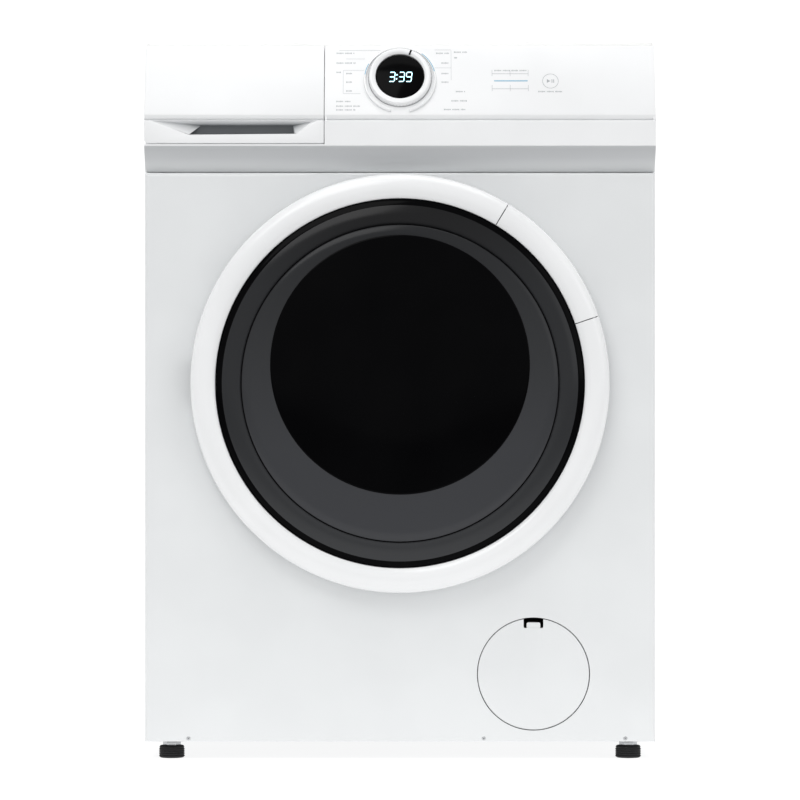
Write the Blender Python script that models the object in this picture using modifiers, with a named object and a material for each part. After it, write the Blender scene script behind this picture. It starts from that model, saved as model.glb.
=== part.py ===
"""Front-load washing machine, built as separate parts in metres.

+Z is up and the front faces -Y. The origin is on the floor, at the middle of the machine's footprint.
"""

from math import acos, atan2, cos, hypot, pi, radians, sin, tan

import bmesh
import bpy
from mathutils import Matrix, Vector

# Casing
WIDTH = 0.595
HEIGHT = 0.840
SHEET = 0.0012
GAP = 0.0003
HALF_WIDTH = WIDTH / 2
FRONT_Y = -0.2465
REAR_Y = 0.2665
CASE_BOTTOM = 0.021
PANEL_TOP = 0.684
RETURN_DEPTH = 0.012
SIDE_FRONT_Y = FRONT_Y + RETURN_DEPTH + GAP
WORKTOP_BOTTOM = 0.826
SIDE_TOP = WORKTOP_BOTTOM - GAP
FLANGE = 0.015

# Control fascia: an upright lower band, a face that leans back, and a hollow finger recess below
TILT = radians(20.7)
FASCIA_Y = FRONT_Y - 0.012
FASCIA_BOTTOM = 0.686
BAND_BOTTOM = 0.717
FACE_BOTTOM = 0.751
FACE_TOP = 0.8346
FASCIA_BACK_Y = -0.205
FASCIA_WALL = 0.0025
FACE_ROTATION = (pi / 2 - TILT, 0, 0)
FACE_NORMAL = Vector((0, -cos(TILT), sin(TILT)))
DIAL_Z = 0.7954
KNOB_RADIUS = 0.0364
DISPLAY_RADIUS = 0.0281

# Detergent drawer, at the left of the fascia
DRAWER_LEFT = -HALF_WIDTH
DRAWER_RIGHT = -0.0885
DRAWER_BACK_Y = 0.0

# Door: a round ring round a smoked window, hinged at the left
AXIS_Z = 0.439
DOOR_RADIUS = 0.2433
RING_INNER = 0.2143
RING_REAR_Y = FRONT_Y - 0.003
RING_FRONT_Y = -0.2795
DOOR_FRONT_Y = -0.2825
HINGE_X = -0.2335
HINGE_Y = RING_REAR_Y - 0.016
HANDLE_START = radians(18.7)
HANDLE_END = radians(58.8)
OPENING_RADIUS = 0.168

# Tub and drum, on one axis along Y
TUB_RADIUS = 0.262
TUB_WALL = 0.003
TUB_FRONT_Y = -0.165
TUB_REAR_Y = 0.157
NECK_RADIUS = 0.165
DRUM_RADIUS = 0.235
DRUM_WALL = 0.0018
DRUM_FRONT_Y = -0.156
DRUM_REAR_Y = 0.119
SHAFT_RADIUS = 0.0125
PULLEY_RADIUS = 0.135
PULLEY_FRONT_Y = 0.216
PULLEY_WIDTH = 0.016
MOTOR_X = 0.075
MOTOR_Z = 0.118
MOTOR_PULLEY_RADIUS = 0.011
DAMPER_X = 0.17
SPRING_X = 0.20
SPRING_LOW = 0.628
SPRING_HIGH = 0.800

# Drain pump and its filter, behind the round flap
PUMP_X = 0.1556
PUMP_Z = 0.1002
FLAP_RADIUS = 0.0652
FLAP_GAP = 0.0007

FOOT_X = 0.268
FOOT_FRONT_Y = FRONT_Y + 0.035
FOOT_REAR_Y = REAR_Y - 0.035
FOOT_RADIUS = 0.015

ROUND = 56
TUB_ROUND = 36
SMALL_ROUND = 20

FINISHES = {
    "enamel": ((0.86, 0.87, 0.87, 1), 0.32, 0.0),
    "white plastic": ((0.88, 0.89, 0.90, 1), 0.36, 0.0),
    "grey plastic": ((0.42, 0.44, 0.46, 1), 0.50, 0.0),
    "black plastic": ((0.02, 0.02, 0.022, 1), 0.35, 0.0),
    "smoked plastic": ((0.035, 0.038, 0.042, 1), 0.10, 0.0),
    "glass": ((0.55, 0.60, 0.62, 1), 0.04, 0.0),
    "rubber": ((0.03, 0.03, 0.032, 1), 0.75, 0.0),
    "grey rubber": ((0.35, 0.36, 0.38, 1), 0.70, 0.0),
    "steel": ((0.62, 0.63, 0.65, 1), 0.28, 1.0),
    "cast aluminium": ((0.58, 0.59, 0.60, 1), 0.45, 1.0),
    "concrete": ((0.45, 0.44, 0.42, 1), 0.90, 0.0),
    "motor steel": ((0.20, 0.21, 0.22, 1), 0.40, 1.0),
    "circuit board": ((0.03, 0.20, 0.10, 1), 0.50, 0.0),
}

AXIS_ROTATION = {"X": (pi / 2, 0, pi / 2), "Y": (pi / 2, 0, 0), "Z": (0, 0, 0)}


def clear_scene():
    for old in list(bpy.data.objects):
        bpy.data.objects.remove(old)


def new_collection(name):
    collection = bpy.data.collections.new(name)
    bpy.context.scene.collection.children.link(collection)
    return collection


clear_scene()
MACHINE = new_collection("washing_machine")
CUTTERS = new_collection("cutters")


def add_object(name, data):
    made = bpy.data.objects.new(name, data)
    MACHINE.objects.link(made)
    return made


def finish(made, kind):
    """Gives the object its own Principled material."""
    colour, roughness, metallic = FINISHES[kind]
    material = bpy.data.materials.new(made.name + "_finish")
    material.use_nodes = True
    shader = material.node_tree.nodes["Principled BSDF"]
    shader.inputs["Base Color"].default_value = colour
    shader.inputs["Roughness"].default_value = roughness
    shader.inputs["Metallic"].default_value = metallic
    made.data.materials.clear()
    made.data.materials.append(material)
    return made


def from_bmesh(name, shape):
    mesh = bpy.data.meshes.new(name)
    shape.to_mesh(mesh)
    shape.free()
    return add_object(name, mesh)


def box(name, low, high, bevel=0.0):
    """A box between two corners, with rounded edges where bevel is given."""
    shape = bmesh.new()
    bmesh.ops.create_cube(shape, size=1)
    size = [b - a for a, b in zip(low, high)]
    bmesh.ops.scale(shape, vec=size, verts=shape.verts)
    made = from_bmesh(name, shape)
    made.location = [(a + b) / 2 for a, b in zip(low, high)]
    if bevel:
        rounding = made.modifiers.new("rounding", "BEVEL")
        rounding.width = bevel
        rounding.segments = 2
    return made


def rod(name, start, end, radius, sides=SMALL_ROUND, end_radius=None):
    """A cylinder, or a cone where end_radius is given, between two points."""
    start, end = Vector(start), Vector(end)
    shape = bmesh.new()
    bmesh.ops.create_cone(
        shape,
        cap_ends=True,
        segments=sides,
        radius1=radius,
        radius2=radius if end_radius is None else end_radius,
        depth=(end - start).length,
    )
    made = from_bmesh(name, shape)
    made.rotation_mode = "QUATERNION"
    made.rotation_quaternion = Vector((0, 0, 1)).rotation_difference(end - start)
    made.location = (start + end) / 2
    return made


def runs_up_outside(outline):
    """True where a profile of (radius, height) points runs up its outer side."""
    pairs = zip(outline, outline[1:] + outline[:1])
    return sum(a[0] * b[1] - b[0] * a[1] for a, b in pairs) > 0


def turned(name, outline, centre=(0, AXIS_Z), axis="Y", steps=ROUND, sweep=2 * pi):
    """A turned shape from (radius, place along the axis) points; centre is (x, z), or (x, y) on a Z axis."""
    points = [(r, -along if axis == "Y" else along) for r, along in outline]
    if runs_up_outside(points):
        points.reverse()
    on_axis = points[0][0] == 0 or points[-1][0] == 0
    if on_axis:
        start = next(i for i, p in enumerate(points) if p[0] == 0 and points[i - 1][0] == 0)
        points = points[start:] + points[:start]
    mesh = bpy.data.meshes.new(name)
    count = len(points)
    edges = [(i, i + 1) for i in range(count - 1)]
    if not on_axis:
        edges.append((count - 1, 0))
    mesh.from_pydata([(r, 0, h) for r, h in points], edges, [])
    made = add_object(name, mesh)
    made.rotation_euler = AXIS_ROTATION[axis]
    made.location = (centre[0], 0, centre[1]) if axis == "Y" else (centre[0], centre[1], 0)
    turn = made.modifiers.new("turn", "SCREW")
    turn.angle = sweep
    turn.steps = turn.render_steps = steps
    turn.use_merge_vertices = True
    turn.merge_threshold = 0.00001
    turn.use_smooth_shade = True
    return made


def as_mesh(curve_object):
    """Turns a curve object into a closed mesh object of the same name and place."""
    name = curve_object.name
    bpy.context.view_layer.update()
    graph = bpy.context.evaluated_depsgraph_get()
    mesh = bpy.data.meshes.new_from_object(curve_object.evaluated_get(graph))
    shape = bmesh.new()
    shape.from_mesh(mesh)
    bmesh.ops.remove_doubles(shape, verts=shape.verts, dist=0.000005)
    bmesh.ops.recalc_face_normals(shape, faces=shape.faces)
    shape.to_mesh(mesh)
    shape.free()
    place = curve_object.matrix_world.copy()
    bpy.data.objects.remove(curve_object)
    made = add_object(name, mesh)
    made.matrix_world = place
    return made


def plate(name, outlines, low, high, axis):
    """A flat outline, with holes as further outlines, between two places along an axis.

    The points are (y, z) on an X axis, (x, z) on a Y axis and (x, y) on a Z axis.
    """
    curve = bpy.data.curves.new(name, "CURVE")
    curve.dimensions = "2D"
    curve.fill_mode = "BOTH"
    curve.extrude = (high - low) / 2
    for outline in outlines:
        spline = curve.splines.new("POLY")
        spline.points.add(len(outline) - 1)
        for point, (across, up) in zip(spline.points, outline):
            point.co = (across, up, 0, 1)
        spline.use_cyclic_u = True
    made = add_object(name, curve)
    made.rotation_euler = AXIS_ROTATION[axis]
    middle = (low + high) / 2
    made.location = [middle if letter == axis else 0 for letter in "XYZ"]
    return as_mesh(made)


def tube(name, points, radius, resolution=2, cyclic=False):
    """A round tube or wire through the points."""
    curve = bpy.data.curves.new(name, "CURVE")
    curve.dimensions = "3D"
    curve.bevel_depth = radius
    curve.bevel_resolution = resolution
    curve.use_fill_caps = True
    spline = curve.splines.new("POLY")
    spline.points.add(len(points) - 1)
    for point, place in zip(spline.points, points):
        point.co = (*place, 1)
    spline.use_cyclic_u = cyclic
    return add_object(name, curve)


def smooth_route(points, count):
    """Points along a Catmull-Rom curve through the given ones, straight between the two at each end."""
    knots = [Vector(p) for p in points]
    lead_in, lead_out = knots[0], knots[-1]
    spans = len(knots) - 3
    route = [lead_in]
    for step in range(count + 1):
        along = min(step * spans / count, spans - 1e-9)
        i, t = int(along), along % 1
        a, b, c, d = knots[i : i + 4]
        bend = (2 * a - 5 * b + 4 * c - d) * t * t + (3 * b - a - 3 * c + d) * t**3
        route.append((2 * b + (c - a) * t + bend) / 2)
    return route + [lead_out]


def arc(radius, start, end, count, centre=(0, 0)):
    """Points on an arc, from one angle to another."""
    angles = [start + (end - start) * i / count for i in range(count + 1)]
    return [(centre[0] + radius * cos(a), centre[1] + radius * sin(a)) for a in angles]


def circle(radius, count, centre=(0, 0)):
    return arc(radius, 0, 2 * pi, count, centre)[:-1]


def arc_band(inner, outer, start, end, count, centre=(0, 0)):
    """The closed outline of a band between two radii."""
    return arc(outer, start, end, count, centre) + arc(inner, end, start, count, centre)


def rectangle(left, right, low, high):
    return [(left, low), (right, low), (right, high), (left, high)]


def boolean(made, other, operation):
    """Cuts or joins another object, which becomes a hidden helper."""
    step = made.modifiers.new(operation.lower() + "_" + other.name, "BOOLEAN")
    step.operation = operation
    step.solver = "EXACT"
    step.object = other
    if other.name in MACHINE.objects:
        MACHINE.objects.unlink(other)
        CUTTERS.objects.link(other)
    other.hide_render = True
    other.display_type = "WIRE"
    return made


def cut(made, *others):
    for other in others:
        boolean(made, other, "DIFFERENCE")
    return made


def join(made, *others):
    for other in others:
        boolean(made, other, "UNION")
    return made


def pivot(name, place):
    """An empty on a joint's axis, which its moving pieces hang from."""
    made = add_object(name, None)
    made.location = place
    made.empty_display_size = 0.03
    return made


def hang(parent, *pieces):
    for piece in pieces:
        piece.parent = parent
        piece.matrix_parent_inverse = Matrix.Translation(parent.location).inverted()


def round_cutter(name, x, z, radius, low, high, sides=ROUND):
    """A round cutter along Y."""
    return rod(name, (x, low, z), (x, high, z), radius, sides)


def make_casing():
    """The sheet-steel case, the base and the worktop."""
    for side, sign in (("left", -1), ("right", 1)):
        outer, inner = sign * HALF_WIDTH, sign * (HALF_WIDTH - SHEET)
        flange_x = sign * (HALF_WIDTH - FLANGE)
        outline = [
            (SIDE_FRONT_Y, CASE_BOTTOM),
            (REAR_Y - 0.002, CASE_BOTTOM),
            (REAR_Y - 0.002, SIDE_TOP),
            (FASCIA_BACK_Y + GAP, SIDE_TOP),
            (FASCIA_BACK_Y + GAP, PANEL_TOP),
            (SIDE_FRONT_Y, PANEL_TOP),
        ]
        panel = plate(side + "_side_panel", [outline], min(outer, inner), max(outer, inner), "X")
        low_x, high_x = min(flange_x, inner + sign * 0.0004), max(flange_x, inner + sign * 0.0004)
        front = box(
            side + "_front_flange",
            (low_x, SIDE_FRONT_Y + 0.0002, CASE_BOTTOM + 0.001),
            (high_x, SIDE_FRONT_Y + 0.0014, PANEL_TOP - 0.001),
        )
        rear = box(
            side + "_rear_flange",
            (low_x, REAR_Y - 0.0034, CASE_BOTTOM + 0.001),
            (high_x, REAR_Y - 0.0022, SIDE_TOP - 0.001),
        )
        finish(join(panel, front, rear), "enamel")

    tray = box(
        "front_panel", (-HALF_WIDTH, FRONT_Y, CASE_BOTTOM), (HALF_WIDTH, FRONT_Y + RETURN_DEPTH, PANEL_TOP)
    )
    hollow = box(
        "front_hollow",
        (SHEET - HALF_WIDTH, FRONT_Y + SHEET, CASE_BOTTOM + SHEET),
        (HALF_WIDTH - SHEET, FRONT_Y + 0.05, PANEL_TOP - SHEET),
    )
    reach = (FRONT_Y - 0.02, FRONT_Y + 0.02)
    cut(
        tray,
        hollow,
        round_cutter("door_opening", 0, AXIS_Z, OPENING_RADIUS, *reach),
        round_cutter("flap_opening", PUMP_X, PUMP_Z, FLAP_RADIUS + FLAP_GAP, *reach, 40),
        box("hinge_slot", (-0.227, reach[0], AXIS_Z - 0.026), (-0.200, reach[1], AXIS_Z + 0.026)),
        box("lock_slot", (0.212, reach[0], AXIS_Z - 0.012), (0.236, reach[1], AXIS_Z + 0.012)),
    )
    finish(tray, "enamel")

    rear = plate(
        "rear_panel",
        [
            rectangle(GAP - HALF_WIDTH, HALF_WIDTH - GAP, CASE_BOTTOM, SIDE_TOP),
            circle(0.17, 32, (0, 0.40)),
            circle(0.0165, 16, (-0.20, 0.775)),
            circle(0.0125, 16, (0.20, 0.775)),
            circle(0.0085, 16, (0.25, 0.700)),
        ],
        REAR_Y - 0.0015,
        REAR_Y - GAP,
        "Y",
    )
    finish(rear, "enamel")
    cover = turned(
        "rear_cover",
        [(0, REAR_Y + 0.0050), (0.165, REAR_Y + 0.0050), (0.171, REAR_Y + 0.0015), (0.185, REAR_Y + 0.0013),
         (0.185, REAR_Y), (0.170, REAR_Y), (0.1645, REAR_Y + 0.0036), (0, REAR_Y + 0.0036)],
        centre=(0, 0.40),
        steps=32,
    )
    finish(cover, "enamel")

    base_front = SIDE_FRONT_Y + 0.003
    base_rear = REAR_Y - 0.006
    half = HALF_WIDTH - 0.0035
    base = box("base_pan", (-half, base_front, CASE_BOTTOM + 0.0015), (half, base_rear, CASE_BOTTOM + 0.035))
    wall = 0.0025
    cut(
        base,
        box(
            "base_hollow",
            (wall - half, base_front + wall, CASE_BOTTOM + 0.0015 + wall),
            (half - wall, base_rear - wall, CASE_BOTTOM + 0.06),
        ),
        *[
            rod(f"stud_hole_{i}", (x, y, 0.01), (x, y, 0.035), 0.006, 12)
            for i, (x, y) in enumerate(foot_places(), 1)
        ],
    )
    finish(base, "grey plastic")

    worktop = box(
        "top_panel",
        (-HALF_WIDTH, -0.2142, WORKTOP_BOTTOM),
        (HALF_WIDTH, REAR_Y, HEIGHT),
        bevel=0.0025,
    )
    finish(worktop, "white plastic")


def foot_places():
    return [(x, y) for y in (FOOT_FRONT_Y, FOOT_REAR_Y) for x in (-FOOT_X, FOOT_X)]


def make_feet():
    """Round rubber feet, each on a threaded stud that goes up through the base."""
    for number, (x, y) in enumerate(foot_places(), 1):
        foot = turned(
            f"foot_{number}",
            [(0, 0), (FOOT_RADIUS, 0), (FOOT_RADIUS, 0.009), (0.012, 0.014), (0.0045, 0.014),
             (0.0045, 0.040), (0, 0.040)],
            centre=(x, y),
            axis="Z",
            steps=16,
        )
        hang(pivot(f"foot_{number}_axis", (x, y, 0)), finish(foot, "rubber"))


def face_y(z):
    """Where the fascia's front is at a height."""
    if z <= FACE_BOTTOM:
        return FASCIA_Y
    return FASCIA_Y + (z - FACE_BOTTOM) * tan(TILT)


def face_front_outline():
    """The fascia's outer line from its top edge down to its lower edge."""
    return [(face_y(FACE_TOP), FACE_TOP), (FASCIA_Y, FACE_BOTTOM), (FASCIA_Y, BAND_BOTTOM)]


def recess_line(depth=0.0):
    """The hollow curve under the fascia, running down and back to the front panel's top."""
    low, back = FASCIA_BOTTOM + depth, -0.2375 + depth * 0.6
    high, front = BAND_BOTTOM + depth * 0.6, FASCIA_Y + depth
    bulge = [(0.0, 1.0), (0.22, 0.80), (0.52, 0.50), (0.80, 0.22), (1.0, 0.0)]
    return [(front + (back - front) * u, low + (high - low) * v) for u, v in bulge]


def end_wall(name, low, high, front_gap=0.0008, points=None):
    """A wall that closes the fascia's hollow, set just inside its outer line."""
    outline = points or [
        (face_y(FACE_TOP) + 0.0006, FACE_TOP - front_gap),
        (FASCIA_Y + front_gap, FACE_BOTTOM),
        (FASCIA_Y + front_gap, BAND_BOTTOM + front_gap),
        *recess_line(front_gap)[1:],
        (FASCIA_BACK_Y, FASCIA_BOTTOM + front_gap),
        (FASCIA_BACK_Y, SIDE_TOP - GAP),
        (-0.2150, SIDE_TOP - GAP),
        (-0.2150, FACE_TOP - front_gap),
    ]
    return plate(name, [outline], low, high, "X")


def on_face(up, out, z=DIAL_Z):
    """A point above the dial's centre along the sloping face, and out from it."""
    base = Vector((0, face_y(z), z))
    return base + Vector((0, sin(TILT), cos(TILT))) * up + FACE_NORMAL * out


def set_on_face(made, out=0.0):
    """Turns an object made round local Z so that it faces out of the sloping face at the dial."""
    made.rotation_mode = "XYZ"
    made.rotation_euler = FACE_ROTATION
    made.location = on_face(0, out)
    bpy.context.view_layer.update()
    return made


def face_turned(name, outline, steps=ROUND):
    """A turned shape on the dial's axis, from (radius, distance out of the face) points."""
    return set_on_face(turned(name, outline, axis="Z", centre=(0, 0), steps=steps))


def make_fascia():
    """The control fascia, hollow behind, with the raised arc round the dial."""
    inner = [
        (-0.2150, FACE_TOP - FASCIA_WALL),
        (face_y(FACE_TOP) + 0.0018, FACE_TOP - FASCIA_WALL),
        (FASCIA_Y + FASCIA_WALL, FACE_BOTTOM - 0.0005),
        (FASCIA_Y + FASCIA_WALL, BAND_BOTTOM + 0.0015),
        *recess_line(FASCIA_WALL)[1:],
        (FASCIA_BACK_Y, FASCIA_BOTTOM + FASCIA_WALL),
    ]
    outer = [
        (FASCIA_BACK_Y, FASCIA_BOTTOM),
        *reversed(recess_line()),
        (FASCIA_Y, FACE_BOTTOM),
        (face_y(FACE_TOP), FACE_TOP),
        (-0.2150, FACE_TOP),
    ]
    fascia = plate("control_fascia", [inner + outer], -HALF_WIDTH, HALF_WIDTH, "X")
    drawer_bay = box(
        "drawer_bay", (-0.31, -0.31, BAND_BOTTOM + 0.002), (DRAWER_RIGHT + 0.001, -0.19, 0.86)
    )
    cut(fascia, drawer_bay)
    left_points = [
        (-0.2350, FASCIA_BOTTOM + 0.001),
        (-0.2420, BAND_BOTTOM - 0.008),
        (-0.2448, BAND_BOTTOM + 0.004),
        (-0.2448, FACE_BOTTOM),
        (-0.2160, SIDE_TOP - GAP),
        (FASCIA_BACK_Y, SIDE_TOP - GAP),
        (FASCIA_BACK_Y, FASCIA_BOTTOM + 0.001),
    ]
    join(
        fascia,
        end_wall("fascia_right_end", HALF_WIDTH - 0.0032, HALF_WIDTH - 0.0007),
        end_wall("fascia_divider", DRAWER_RIGHT + 0.0017, DRAWER_RIGHT + 0.0042),
        end_wall("fascia_left_end", 0.0007 - HALF_WIDTH, 0.0032 - HALF_WIDTH, points=left_points),
    )
    collar = plate(
        "dial_collar",
        [arc_band(0.0385, 0.0415, radians(-72), radians(252), 20)],
        -0.0015,
        0.0028,
        "Z",
    )
    join(fascia, set_on_face(collar, 0.0006))
    dial_hole = set_on_face(rod("dial_hole", (0, 0, -0.02), (0, 0, 0.02), KNOB_RADIUS + 0.0012, 32))
    dial_hole.rotation_mode = "XYZ"
    cut(fascia, dial_hole)
    finish(fascia, "white plastic")


def make_dial():
    """The programme knob, a ring that turns round the fixed display, and the board behind it."""
    lens = face_turned(
        "display_lens",
        [(0, 0.0052), (0.0250, 0.0052), (DISPLAY_RADIUS - 0.0002, 0.0040), (DISPLAY_RADIUS - 0.0002, 0.0005),
         (0.020, 0.0005), (0.020, -0.0170), (0, -0.0170)],
        steps=30,
    )
    finish(lens, "black plastic")
    knob = face_turned(
        "programme_knob",
        [(DISPLAY_RADIUS + 0.0006, 0.0060), (0.0345, 0.0075), (KNOB_RADIUS, 0.0060), (KNOB_RADIUS, -0.0045),
         (0.0400, -0.0045), (0.0400, -0.0070), (DISPLAY_RADIUS + 0.0006, -0.0070)],
        steps=30,
    )
    finish(knob, "black plastic")
    hang(pivot("programme_knob_axis", on_face(0, 0)), knob)
    bpy.context.view_layer.update()
    board = box("control_board", (-0.080, -0.038, -0.030), (0.240, 0.026, -0.0175))
    board.location = on_face(0, 0) + FACE_NORMAL * -0.02375 + Vector((0.080, 0, 0))
    board.rotation_euler = FACE_ROTATION
    finish(board, "circuit board")


def make_drawer():
    """The drawer, its scooped front and its housing. All of the drawer slides out along -Y."""
    wall = 0.002
    slant = tan(TILT)
    front_outline = [
        (face_y(FACE_TOP), FACE_TOP),
        (FASCIA_Y, FACE_BOTTOM),
        (FASCIA_Y, 0.7425),
        (-0.2490, 0.7445),
        (-0.2475, 0.7380),
        (-0.2530, 0.7300),
        (FASCIA_Y, 0.7275),
        (FASCIA_Y, BAND_BOTTOM + 0.0025),
        (-0.2455, BAND_BOTTOM + 0.0025),
        (-0.2455, FACE_BOTTOM),
        (-0.2455 + (SIDE_TOP - FACE_BOTTOM) * slant, SIDE_TOP),
        (-0.2150, SIDE_TOP),
        (-0.2150, FACE_TOP),
    ]
    front = plate("drawer_front", [front_outline], DRAWER_LEFT, DRAWER_RIGHT, "X")
    plugs = [
        plate(
            f"scoop_end_{side}",
            [[(FASCIA_Y + 0.0004, FACE_BOTTOM - 0.002), (-0.2465, FACE_BOTTOM - 0.002),
              (-0.2465, BAND_BOTTOM + 0.005), (FASCIA_Y + 0.0004, BAND_BOTTOM + 0.005)]],
            low,
            high,
            "X",
        )
        for side, low, high in (
            ("left", DRAWER_LEFT + 0.0004, DRAWER_LEFT + 0.042),
            ("right", DRAWER_RIGHT - 0.031, DRAWER_RIGHT - 0.0004),
        )
    ]
    left, right = -0.2790, -0.1010
    front_y, floor_z, top_z = -0.2300, 0.7350, 0.7900
    ledge = box(
        "front_ledge", (left + 0.01, -0.2465, floor_z + 0.012), (right - 0.01, front_y - GAP, floor_z + 0.016)
    )
    finish(join(front, *plugs, ledge), "white plastic")
    drawer = box("detergent_drawer", (left, front_y, floor_z), (right, DRAWER_BACK_Y, top_z))
    pockets = [
        (left + wall, left + 0.062, front_y + wall),
        (left + 0.064, left + 0.125, front_y + wall),
        (left + 0.127, right - wall, front_y + wall),
    ]
    cut(
        drawer,
        *[
            box(f"pocket_{i}", (a, y, floor_z + wall), (b, DRAWER_BACK_Y - wall, top_z + 0.02))
            for i, (a, b, y) in enumerate(pockets, 1)
        ],
    )
    finish(drawer, "white plastic")
    siphon = box(
        "siphon_cap",
        (left + 0.128, -0.080, floor_z + 0.006),
        (right - 0.003, -0.030, top_z - 0.012),
        bevel=0.003,
    )
    finish(siphon, "grey plastic")
    hang(pivot("drawer_axis", (0, front_y, floor_z)), front, drawer, siphon)

    housing = box("dispenser_housing", (-0.2870, -0.2030, 0.7240), (-0.0930, 0.0200, 0.8180))
    cut(housing, box("housing_hollow", (-0.2850, -0.2600, 0.7262), (-0.0950, 0.0180, 0.8160)))
    spout = rod("housing_spout", (-0.190, 0.0, 0.7250), (-0.190, 0.0, 0.7000), 0.014, 16)
    finish(join(housing, spout), "white plastic")


def wedge(middle, half, inner=0.19):
    """A sector's outline round the door's centre."""
    return arc_band(inner, 0.27, middle - half, middle + half, 8)


def make_door():
    """The door's ring, window and glass, with the handle that is a part of the ring."""
    ring_outline = [
        (0.2400, RING_REAR_Y),
        (0.2418, RING_REAR_Y),
        (DOOR_RADIUS, -0.2535),
        (DOOR_RADIUS, -0.2680),
        (0.2405, -0.2748),
        (0.2340, -0.2786),
        (0.2270, RING_FRONT_Y),
        (0.2185, -0.2782),
        (RING_INNER, -0.2755),
        (RING_INNER, -0.2680),
        (0.2166, -0.2680),
        (0.2180, -0.2745),
        (0.2330, -0.2752),
        (0.2395, -0.2690),
        (0.2408, -0.2640),
    ]
    middle, half = (HANDLE_START + HANDLE_END) / 2, (HANDLE_END - HANDLE_START) / 2
    slit = 0.0012 / DOOR_RADIUS
    frame = turned("door_frame", ring_outline)
    sector = plate("handle_bay", [wedge(middle, half)], -0.30, -0.2590, "Y")
    sector.location.z = AXIS_Z
    notch = box("hinge_notch", (-0.2480, -0.2690, AXIS_Z - 0.026), (-0.2375, -0.2440, AXIS_Z + 0.026))
    finish(cut(frame, sector, notch), "white plastic")
    handle_outline = [
        (DOOR_RADIUS, -0.2610),
        (DOOR_RADIUS, -0.2680),
        (0.2405, -0.2748),
        (0.2340, -0.2786),
        (0.2270, RING_FRONT_Y),
        (0.2185, -0.2782),
        (RING_INNER, -0.2755),
        (RING_INNER, -0.2710),
        (0.2166, -0.2710),
        (0.2180, -0.2745),
        (0.2330, -0.2752),
        (0.2395, -0.2690),
        (0.2408, -0.2610),
    ]
    handle = turned("door_handle", handle_outline)
    keep = plate("handle_reach", [wedge(middle, half - slit)], -0.30, -0.2400, "Y")
    keep.location.z = AXIS_Z
    finish(boolean(handle, keep, "INTERSECT"), "white plastic")

    window = turned(
        "door_window",
        [(0, DOOR_FRONT_Y), (0.150, -0.2822), (0.182, -0.2805), (0.2060, -0.2765), (0.2136, -0.2735),
         (0.2136, -0.2712), (0.2050, -0.2725), (0.182, -0.2755), (0.150, -0.2775), (0, -0.2778)],
        steps=48,
    )
    finish(window, "smoked plastic")
    inner = turned(
        "door_inner_frame",
        [(0.1500, -0.2495), (0.2340, -0.2495), (0.2375, -0.2530), (0.2375, -0.2560), (0.2120, -0.2560),
         (0.2120, -0.2705), (0.2020, -0.2705), (0.2020, -0.2560), (0.1500, -0.2560)],
        steps=TUB_ROUND,
    )
    hinge_bay = box("hinge_bay", (-0.2460, -0.2750, AXIS_Z - 0.026), (-0.2010, -0.2440, AXIS_Z + 0.026))
    hook_bay = box("hook_bay", (0.2135, -0.2750, AXIS_Z - 0.012), (0.2345, -0.2440, AXIS_Z + 0.012))
    finish(cut(inner, hinge_bay, hook_bay), "grey plastic")
    bowl = turned(
        "door_glass",
        [(0.1620, -0.2563), (0.1620, -0.2600), (0.1400, -0.2600), (0.1300, -0.2300), (0.1080, -0.1650),
         (0, -0.1600), (0, -0.1560), (0.1120, -0.1600), (0.1360, -0.2290), (0.1450, -0.2470),
         (0.1450, -0.2563)],
        steps=TUB_ROUND,
    )
    finish(bowl, "glass")

    knuckle = rod(
        "hinge_leaf", (HINGE_X, HINGE_Y, AXIS_Z - 0.0115), (HINGE_X, HINGE_Y, AXIS_Z + 0.0115), 0.004, 16
    )
    leaf = box("leaf_plate", (HINGE_X + 0.001, -0.2672, AXIS_Z - 0.0110), (-0.1900, -0.2655, AXIS_Z + 0.0110))
    foot = box("leaf_foot", (-0.2000, -0.2660, AXIS_Z - 0.0105), (-0.1905, -0.2563, AXIS_Z + 0.0105))
    bore = rod("leaf_bore", (HINGE_X, HINGE_Y, AXIS_Z - 0.03), (HINGE_X, HINGE_Y, AXIS_Z + 0.03), 0.0023, 16)
    finish(cut(join(knuckle, leaf, foot), bore), "steel")

    lug_outline = arc(0.004, radians(135), radians(315), 6, (HINGE_X, HINGE_Y)) + [
        (-0.2130, FRONT_Y - 0.0040),
        (-0.2130, FRONT_Y + 0.0030),
        (-0.2190, FRONT_Y + 0.0030),
        (-0.2190, FRONT_Y - 0.0010),
    ]
    bracket_y = FRONT_Y + 0.0016
    bracket = box(
        "hinge_bracket", (-0.2290, bracket_y, AXIS_Z - 0.034), (-0.1960, bracket_y + 0.003, AXIS_Z + 0.034)
    )
    lugs = [
        plate(f"hinge_lug_{side}", [lug_outline], AXIS_Z + low, AXIS_Z + low + 0.010, "Z")
        for side, low in (("upper", 0.0125), ("lower", -0.0225))
    ]
    pin = rod("hinge_pin", (HINGE_X, HINGE_Y, AXIS_Z - 0.022), (HINGE_X, HINGE_Y, AXIS_Z + 0.022), 0.0019, 12)
    finish(join(bracket, *lugs, pin), "steel")

    hook = plate(
        "door_hook",
        [[(0.2190, -0.2650), (0.2245, -0.2650), (0.2240, -0.2360), (0.2275, -0.2330), (0.2230, -0.2280),
          (0.2195, -0.2300)]],
        AXIS_Z - 0.007,
        AXIS_Z + 0.007,
        "Z",
    )
    finish(hook, "steel")
    lock = box("door_lock", (0.2020, FRONT_Y + 0.0016, AXIS_Z - 0.040), (0.2450, -0.2170, AXIS_Z + 0.040))
    slot = box("lock_pocket", (0.2110, FRONT_Y - 0.01, AXIS_Z - 0.013), (0.2370, -0.2210, AXIS_Z + 0.013))
    finish(cut(lock, slot), "grey plastic")

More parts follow.
